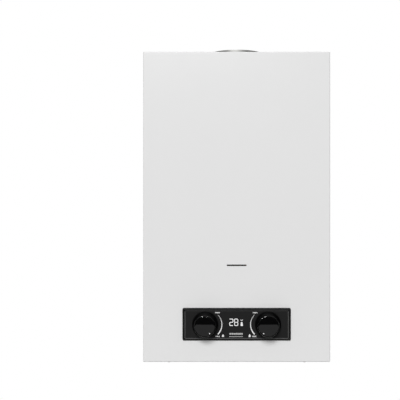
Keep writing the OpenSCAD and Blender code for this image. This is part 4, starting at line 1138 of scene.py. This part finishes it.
@dataclass
class ControlPanel(Assembly):
    """The black panel with its scales, words, signs and number display."""

    coats: Coats = (
        (BEZEL_BLACK, ("panel_bezel",)),
        (FASCIA_BLACK, ("panel_fascia",)),
        (BOARD_GREEN, ("display_board",)),
        (DISPLAY_DARK, ("display_module",)),
    )
    face_depth: float = -170.2
    ink_raise: float = 0.1
    rim_half: Point = (90.6, 24.2)
    rim_width: float = 0.7
    rim_round: float = 0.9
    scale_centres: Point = (-50.1, 48.6)
    scale_height: float = 67.0
    scale_radius: float = 24.2
    scale_sweep: float = 45.0
    scale_thin: float = 0.35
    scale_thick: float = 2.1
    scale_steps: int = 40
    words: tuple[tuple[str, Point], ...] = (
        ("MIN", (-33.6, 87.8)), ("MIN", (32.4, 87.8)), ("MAX", (-33.2, 46.1)), ("MAX", (31.0, 46.1)),
    )
    word_size: Point = (7.8, 2.3)
    digit_size: Point = (7.1, 12.7)
    digit_low: float = 64.6
    digit_stroke: float = 1.25
    digit_round: float = 1.7
    digit_centres: Point = (-9.3, -0.8)
    sign_centre: float = 8.9
    sign_tick: tuple[Point, ...] = ((-1.9, 10.9), (-0.2, 8.5), (1.9, 10.9))
    sign_stroke: float = 0.9
    sign_blocks: tuple[tuple[float, float, float, float], ...] = ((1.75, 3.5, 6.4, 1.4), (2.0, 0.0, 3.1, 0.4))
    flame_foot: Point = (-24.0, 45.3)
    flame_size: float = 5.0
    flame_outline: tuple[Point, ...] = (
        (0.0, 0.0), (0.28, 0.04), (0.42, 0.2), (0.42, 0.42), (0.3, 0.62), (0.22, 0.5), (0.14, 0.72),
        (-0.02, 1.0), (-0.1, 0.72), (-0.26, 0.52), (-0.4, 0.34), (-0.4, 0.16), (-0.26, 0.03),
    )
    drop_foot: Point = (22.8, 44.8)
    drop_size: float = 5.6
    drop_radius: float = 0.34
    drop_sweep: Point = (-215.0, 35.0)
    drop_steps: int = 20
    drop_tip: float = 0.04
    level_bars: BarRow = BarRow(49.2, 52.2, 2.3, 3.45, 7, middle=-1.0)
    level_ticks: BarRow = BarRow(45.2, 46.5, 1.0, 1.5, 16, middle=-1.0)

    def depth_at(self, x: float, z: float) -> float:
        """Return the depth of the fascia, which is flat, at a point."""
        return self.face_depth

    def digits(self) -> Flat:
        """Draw the number on the display.

        Returns:
            A two and an eight with round corners.
        """
        half = self.digit_stroke / 2
        low, high = self.digit_low + half, self.digit_low + self.digit_size[1] - half
        middle = (low + high) / 2
        reach = self.digit_size[0] / 2 - half
        left, right = self.digit_centres[0] - reach, self.digit_centres[0] + reach
        two = [(left, high), (right, high), (right, middle), (left, middle), (left, low), (right, low)]
        left, right = self.digit_centres[1] - reach, self.digit_centres[1] + reach
        arch = [(left, middle + half), (left, high), (right, high), (right, middle + half)]
        shapes = Flat()
        for line in (two, arch):
            shapes.ribbon(rounded_path(line, self.digit_round), self.digit_stroke, self.digit_stroke)
        ring = rounded_bar((left, low), (right, middle), self.digit_round)
        return shapes.ribbon(ring, self.digit_stroke, self.digit_stroke, closed=True)

    def small_sign(self) -> Flat:
        """Draw the small lit sign beside the digits.

        Returns:
            A tick over a round-topped block and its foot.
        """
        x, z = self.sign_centre, self.digit_low
        tick = [(x + a, z + b) for a, b in self.sign_tick]
        blocks = [
            rounded_bar((x - half, z + low), (x + half, z + high), radius)
            for half, low, high, radius in self.sign_blocks
        ]
        return Flat().ribbon(tick, self.sign_stroke, self.sign_stroke).outlines(*blocks)

    def scales(self) -> Flat:
        """Draw the scales beside the knobs.

        Returns:
            Two tapered arcs.
        """
        shapes = Flat()
        for x, middle, turn in zip(self.scale_centres, (0.0, 180.0), (self.scale_sweep, -self.scale_sweep)):
            centre = (x, self.scale_height)
            line = arc(centre, self.scale_radius, middle + turn, middle - turn, self.scale_steps)
            shapes.ribbon(line, self.scale_thin, self.scale_thick)
        return shapes

    def flame(self) -> Flat:
        """Return the flame sign."""
        (x, z), size = self.flame_foot, self.flame_size
        return Flat().outlines([(x + a * size, z + b * size) for a, b in self.flame_outline])

    def drop(self) -> Flat:
        """Draw the drop sign.

        Returns:
            A round belly under a narrow tip.
        """
        (x, z), size = self.drop_foot, self.drop_size
        radius, tip = self.drop_radius * size, self.drop_tip * size
        belly = arc((x, z + radius), radius, *self.drop_sweep, self.drop_steps)
        return Flat().outlines([*belly, (x + tip, z + size), (x - tip, z + size)])

    def scale_words(self) -> Flat:
        """Set the words at the ends of the scales.

        Returns:
            The words.
        """
        shapes = Flat()
        for text, centre in self.words:
            shapes.word(text, centre, self.word_size)
        return shapes

    def rim_highlight(self) -> Flat:
        """Draw the edge of the fascia.

        Returns:
            A thin line of painted highlight all round it.
        """
        x, z = self.rim_half
        loop = rounded_bar((-x, Knob.height - z), (x, Knob.height + z), self.rim_round)
        return Flat().ribbon(loop, self.rim_width, self.rim_width, closed=True)

    def build(self) -> None:
        """Print the panel and light its display."""
        for name, shapes, ink, slot in (
            ("panel_scales", self.scales(), WHITE_INK, Slot.PRINT),
            ("panel_words", self.scale_words(), WHITE_INK, Slot.PRINT),
            ("panel_flame_sign", self.flame(), WHITE_INK, Slot.PRINT),
            ("panel_drop_sign", self.drop(), WHITE_INK, Slot.PRINT),
            ("display_digits", self.digits(), LIT_WHITE, Slot.PRINT),
            ("display_sign", self.small_sign(), LIT_WHITE, Slot.PRINT),
            ("level_bars", self.level_bars.shapes(), DIM_INK, Slot.PRINT),
            ("level_ticks", self.level_ticks.shapes(), FAINT_INK, Slot.PRINT),
            # The rim line is a painted highlight, darkened at its top as painted shade.
            ("panel_rim_highlight", self.rim_highlight(), RIM_HIGHLIGHT, Slot.PANEL),
        ):
            add_piece(name, shapes.raised(self.depth_at, self.ink_raise), Body.HEATER, ink)


@dataclass
class Casing(Assembly):
    """The sheet casing, its plates and the cross-slotted screws under it."""

    coats: Coats = (
        (WHITE_ENAMEL, ("front_cover",)),
        (ZINC, ("back_plate", "bottom_plate", "chamber_brackets", "sight_retainer")),
        (SCREW_STEEL, ("cover_screws", "chassis_screws")),
        (SIGHT_PANE, ("sight_glass",)),
    )
    screw_offset: float = 120.0
    screw_depth: float = -156.7
    head_radius: float = 3.2
    head_height: float = 1.52
    head_profile: tuple[Point, ...] = ((1.0, 0.0), (1.0, 0.5), (0.88, 0.8), (0.68, 1.0))
    shank_radius: float = 2.0
    shank_length: float = 6.8
    slot_reach: float = 1.9
    slot_half: float = 0.5
    slot_depth: float = 0.9
    steps: int = 32

    def cross(self) -> Loop:
        """Draw the cross slot from one arm, turned three times.

        Returns:
            The outline.
        """
        half, reach = self.slot_half, self.slot_reach
        arm = [(half, half), (half, reach), (-half, reach)]
        outline = []
        for _ in range(4):
            outline += arm
            arm = [(-q, p) for p, q in arm]
        return outline

    def screw(self, form: bmesh.types.BMesh, x: float) -> None:
        """Add one cross-slotted screw whose head faces down.

        Args:
            form: the shape to add it to.
            x: the screw's place across the casing.
        """
        profile = [(self.shank_radius, self.shank_length), (self.shank_radius, 0.0)]
        for radius, drop in self.head_profile:
            profile.append((radius * self.head_radius, -drop * self.head_height))
        rings = [
            [form.verts.new(spot(a, b, z)) for a, b in disc((x, self.screw_depth), radius, self.steps)]
            for radius, z in profile
        ]
        join_rings(form, *rings)
        form.faces.new(rings[0])
        mouth, floor = (
            [form.verts.new(spot(x + p, self.screw_depth + q, z)) for p, q in self.cross()]
            for z in (-self.head_height, self.slot_depth - self.head_height)
        )
        join_rings(form, mouth, floor)
        form.faces.new(floor)
        rim = [form.edges.get(pair) for ring in (rings[-1], mouth) for pair in zip(ring, ring[1:] + ring[:1])]
        bmesh.ops.triangle_fill(form, edges=rim, use_beauty=True)

    def build(self) -> None:
        """Make the cover screws with their cross slots."""
        form = bmesh.new()
        for side in Side:
            self.screw(form, side.value * self.screw_offset)
        screws = add_piece("cover_cross_screws", form, Body.HEATER, SCREW_STEEL)
        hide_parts("cover_screws")


@dataclass
class PipeThread:
    """The thread below one pipe connection, as a ridge wound round its stub.

    The ridge runs out over the first and the last part of a turn.
    """

    name: str
    x: float
    y: float
    finish: Finish
    slot: Slot
    root: float = 10.3
    crest: float = 10.85
    pitch: float = 1.814
    half_base: float = 0.75
    low: float = -13.6
    high: float = -1.6
    steps: int = 40
    run_out: float = 0.5

    def build(self) -> None:
        """Wind the ridge."""
        form = bmesh.new()
        count = int((self.high - self.low) / self.pitch * self.steps)
        fade = self.run_out * self.steps
        rings = []
        for i in range(count + 1):
            turn = math.tau * i / self.steps
            z = self.low + self.pitch * i / self.steps
            tip = self.root + (self.crest - self.root) * min(1.0, i / fade, (count - i) / fade)
            section = ((self.root, z - self.half_base), (tip, z), (self.root, z + self.half_base))
            across, deep = math.cos(turn), math.sin(turn)
            places = [spot(self.x + r * across, self.y + r * deep, h) for r, h in section]
            rings.append([form.verts.new(place) for place in places])
        join_rings(form, *rings)
        form.faces.new(rings[0])
        form.faces.new(rings[-1])
        add_piece(f"{self.name}_thread", form, Body.HEATER, self.finish)


@dataclass
class Flue(Assembly):
    """The draught hood, its baffle, the collar and the thermostat."""

    coats: Coats = (
        (ZINC, ("flue_hood", "flue_baffle")),
        (COLLAR_SHEET, ("flue_collar",)),
        (DARK_PLASTIC, ("flue_thermostat",)),
    )


@dataclass
class HeatExchanger(Assembly):
    """The copper chamber with its fins, tubes, bends and water pipes."""

    coats: Coats = (
        (COPPER, ("combustion_chamber", "exchanger_fins", "exchanger_tubes")),
        (COPPER, ("return_bends", "cold_pipe", "hot_pipe")),
        (DARK_PLASTIC, ("hot_thermostat",)),
    )


@dataclass
class Burner(Assembly):
    """The burner bars with their gas supply and electrodes."""

    coats: Coats = (
        (BURNER_STEEL, ("burner_frame", "burner_bars")),
        (CAST_ALUMINIUM, ("gas_manifold",)),
        (BRASS, ("gas_injectors",)),
        (ZINC, ("gas_feed_pipe", "electrode_plate")),
        (INSULATOR, ("electrode_insulators",)),
        (ELECTRODE_WIRE, ("electrode_rods",)),
    )


@dataclass
class Valves(Assembly):
    """The gas and water valves, the linkage between them and the pipe connections."""

    coats: Coats = (
        (CAST_ALUMINIUM, ("gas_valve_body",)),
        (GREY_PLASTIC, ("gas_solenoid",)),
        (CAST_BRASS, ("water_valve_body", "diaphragm_cover", "hot_outlet")),
        (BRASS, ("gas_spindle", "water_spindle", "drain_plug", "push_rod", "union_nuts")),
        (BLACK_RUBBER, ("diaphragm", "union_seals")),
        (SCREW_STEEL, ("diaphragm_screws", "bridge_screws")),
        (ZINC, ("valve_bridge", "switch_lever", "inlet_filter")),
        (DARK_PLASTIC, ("microswitch",)),
    )
    gas_x: float = -67.1
    cold_x: float = 65.6
    valve_depth: float = -74.0
    hot_x: float = -128.0
    hot_depth: float = -32.0

    def build(self) -> None:
        """Thread the three connections."""
        PipeThread("gas_inlet", self.gas_x, self.valve_depth, CAST_ALUMINIUM, Slot.ALUMINIUM).build()
        PipeThread("cold_inlet", self.cold_x, self.valve_depth, CAST_BRASS, Slot.BRASS).build()
        PipeThread("hot_outlet", self.hot_x, self.hot_depth, CAST_BRASS, Slot.BRASS).build()


@dataclass
class Electrics(Assembly):
    """The control box, the battery box with its lid, and the leads."""

    coats: Coats = (
        (WHITE_PLASTIC, ("control_box", "control_box_lid")),
        (DARK_PLASTIC, ("battery_box", "battery_lid")),
        (CELL_WRAP, ("battery_cells",)),
        (CONTACT, ("battery_contacts",)),
        (LEAD_SILICONE, ("ignition_leads",)),
    )
    ribs: BarRow = BarRow(-1.2, 0.6, 1.0, 3.4, 5, rounding=0.45)
    rib_raise: float = 0.5
    lip_depth: float = -146.7

    def build(self) -> None:
        """Mould the grip ribs on the battery lid's thumb lip."""
        form = self.ribs.shapes().raised(lambda x, z: self.lip_depth, self.rib_raise)
        add_piece("battery_lid_ribs", form, Body.BATTERY_DOOR, DARK_PLASTIC)


@dataclass(frozen=True)
class Lamp:
    """A soft square lamp.

    Attributes:
        name: what it is called.
        place: where it stands.
        aim: the point that it faces.
        size: length of its side.
        power: its power in watts.
        diffuse: whether it lights matt surfaces.
        glossy: whether reflections show it.
        lit: the one object that it lights, or none to light all.
    """

    name: str
    place: Triple
    aim: Triple
    size: float
    power: float
    diffuse: bool = True
    glossy: bool = True
    lit: str | None = None

    def build(self) -> None:
        """Hang the lamp."""
        data = bpy.data.lights.new(self.name, "AREA")
        data.shape = "SQUARE"
        data.size = self.size
        data.energy = self.power
        made = bpy.data.objects.new(self.name, data)
        made.location = self.place
        made.rotation_euler = (Vector(self.aim) - Vector(self.place)).to_track_quat("-Z", "Y").to_euler()
        made.visible_diffuse = self.diffuse
        made.visible_glossy = self.glossy
        bpy.context.scene.collection.objects.link(made)
        if self.lit:
            alone = bpy.data.collections.new(f"{self.lit}_lit")
            alone.objects.link(bpy.data.objects[self.lit])
            made.light_linking.receiver_collection = alone
        log.info("studio has lamp %s", self.name)


def gleam(name: str, lit: str, place: Triple, size: float = 0.3, power: float = 50.0) -> Lamp:
    """Return a lamp overhead that gives one object its highlights."""
    return Lamp(name, place, (0.0, -0.19, -0.2), size, power, diffuse=False, lit=lit)


def fill_lamp(side: Side, power: float) -> Lamp:
    """Return a weak lamp on one side of the heater."""
    place, aim = (side.value * 2.2, 0.35, 0.5), (side.value * 0.16, -0.08, 0.0)
    return Lamp(f"{side.name.lower()}_fill_lamp", place, aim, 1.2, power, glossy=False)


@dataclass
class Studio:
    """White surroundings, a pale floor, soft lamps and the camera."""

    ambient: float = 0.29
    floor_middle: Triple = (0.0, -0.08, -1.75)
    floor_radius: float = 3.0
    floor_steps: int = 96
    floor_levels: Point = (206, 212)
    floor_grain: Grain = Grain(30.0, 3.0)
    floor_glow: float = 0.8
    hood_front: float = -6.4
    hood_back: float = 2.6
    hood_low: float = -1.08
    hood_foot: float = -1.74
    apron_front: float = -3.2
    hood_high: float = 6.0
    hood_half: float = 6.0
    felt_levels: Point = (10, 16)
    felt_grain: Grain = Grain(50.0)
    camera_distance: float = 1.25
    front_depth: float = -0.165
    frame_width: float = 0.7048
    camera_shift: Point = (-0.0916, 0.0171)
    sensor: float = 36.0
    lamps: tuple[Lamp, ...] = (
        Lamp("key_lamp", (-0.86, -7.95, 4.17), (0.0, -0.16, 0.0), 2.8, 572.0),
        gleam("gleam_0", "gas_knob_turned", (-0.83, -0.54, 2.12)),
        gleam("gleam_1", "gas_knob_turned", (0.45, -0.62, 2.19)),
        gleam("gleam_2", "water_knob_turned", (-1.55, -0.54, 1.71)),
        gleam("gleam_3", "water_knob_turned", (-0.74, -0.62, 2.11)),
        gleam("gleam_4", "panel_bezel", (0.0, -0.35, 1.8), 0.9, 48.0),
        fill_lamp(Side.LEFT, 4.0),
        fill_lamp(Side.RIGHT, 1.0),
        Lamp("rear_lamp", (0.6, 1.6, 1.2), (0.0, 0.0, 0.1), 1.2, 12.0, glossy=False),
    )

    def surroundings(self) -> None:
        """Make the world white to the eye and in reflections, and an even light elsewhere."""
        world = bpy.data.worlds.new("white_studio")
        world.use_nodes = True
        bpy.context.scene.world = world
        graph = Graph(world.node_tree)
        light, white = (
            graph.node("ShaderNodeBackground", inputs={"Color": even(255), "Strength": strength})
            for strength in (self.ambient, 1.0)
        )
        mixed = graph.node("ShaderNodeMixShader", inputs={0: self.seen_directly(graph), 1: light, 2: white})
        graph.node("ShaderNodeOutputWorld", inputs={"Surface": mixed})

    @staticmethod
    def seen_directly(graph: Graph) -> Signal:
        """Tell the rays that see the studio from those that only light it.

        Args:
            graph: the graph to add the test to.

        Returns:
            1 for rays of the camera, of reflections and through glass, and 0 for others.
        """
        rays = [f"Is {kind} Ray" for kind in ("Camera", "Glossy", "Transmission")]
        camera, glossy, through = (graph.node("ShaderNodeLightPath", output=ray) for ray in rays)
        return camera.larger(glossy).larger(through)

    @staticmethod
    def cloth(graph: Graph, grain: Grain, levels: Point) -> Signal:
        """Return a matt shader with grain between two grey levels."""
        colour = graph.mix(grain.on(graph), even(levels[0]), even(levels[1]))
        return graph.node("ShaderNodeBsdfDiffuse", inputs={"Color": colour})

    @staticmethod
    def stage_object(name: str, form: bmesh.types.BMesh, coat: bpy.types.Material) -> bpy.types.Object:
        """Add a piece of the studio, which isn't part of the heater.

        Args:
            name: what it is called.
            form: its shape, which is freed.
            coat: its material.

        Returns:
            The new object.
        """
        made = show(name, form, coat, smooth=False)
        log.info("studio has %s", name)
        return made

    def floor(self) -> None:
        """Lay a pale round floor that takes the heater's shadow."""
        form = bmesh.new()
        place = Matrix.Translation(self.floor_middle)
        bmesh.ops.create_circle(
            form, cap_ends=True, radius=self.floor_radius, segments=self.floor_steps, matrix=place
        )
        coat = bpy.data.materials.new("pale_floor")
        coat.use_nodes = True
        graph = Graph(coat.node_tree)
        plain = self.cloth(graph, self.floor_grain, self.floor_levels)
        white = graph.node("ShaderNodeEmission", inputs={"Color": even(255), "Strength": 1.0})
        share = self.floor_glow * self.seen_directly(graph)
        shown = graph.node("ShaderNodeMixShader", inputs={0: share, 1: plain, 2: white})
        graph.node("ShaderNodeOutputMaterial", inputs={"Surface": shown})
        self.stage_object("studio_floor", form, coat)

    def dark_hood(self) -> None:
        """Hang a dark hood over the studio, with an apron over the floor, that only reflections see."""
        form = bmesh.new()
        half, front, back = self.hood_half, self.hood_front, self.hood_back
        levels = ((self.hood_high, front), (self.hood_low, front), (self.hood_foot, self.apron_front))
        top, brim, foot = (
            [form.verts.new((x, y, z)) for x, y in ((-half, back), (-half, near), (half, near), (half, back))]
            for z, near in levels
        )
        form.faces.new(top)
        form.faces.new(foot)
        form.faces.new((brim[1], brim[2], top[2], top[1]))
        for i, k in ((0, 1), (3, 2)):
            form.faces.new((foot[i], foot[k], brim[k], top[k], top[i]))
        coat = bpy.data.materials.new("dark_felt")
        coat.use_nodes = True
        graph = Graph(coat.node_tree)
        felt = self.cloth(graph, self.felt_grain, self.felt_levels)
        graph.node("ShaderNodeOutputMaterial", inputs={"Surface": felt})
        hood = self.stage_object("studio_hood", form, coat)
        hood.visible_camera = False
        hood.visible_diffuse = False
        hood.visible_shadow = False
        hood.visible_transmission = False

    def camera(self) -> None:
        """Stand the camera straight in front of the casing."""
        data = bpy.data.cameras.new("front_camera")
        data.sensor_width = self.sensor
        data.lens = self.sensor * self.camera_distance / self.frame_width
        data.shift_x, data.shift_y = self.camera_shift
        made = bpy.data.objects.new("front_camera", data)
        made.location = (0.0, self.front_depth - self.camera_distance, 0.0)
        made.rotation_euler = (math.pi / 2, 0.0, 0.0)
        bpy.context.scene.collection.objects.link(made)
        bpy.context.scene.camera = made

    def build(self) -> None:
        """Set up the whole studio."""
        bpy.context.scene.view_settings.view_transform = "Standard"
        self.camera()
        self.surroundings()
        self.floor()
        self.dark_hood()
        for lamp in self.lamps:
            lamp.build()


def main() -> None:
    """Build and dress the heater, then its studio."""
    logging.basicConfig(level=logging.INFO, format="%(name)s: %(message)s")
    for part in (
        Casing(),
        Valves(),
        Electrics(),
        ControlPanel(),
        Flue(),
        HeatExchanger(),
        Burner(),
        Knob("gas_knob", Side.LEFT, Body.GAS_CONTROL),
        Knob("water_knob", Side.RIGHT, Body.WATER_CONTROL),
    ):
        part.build()
        part.dress()
    Studio().build()


if __name__ == "__main__":
    main()
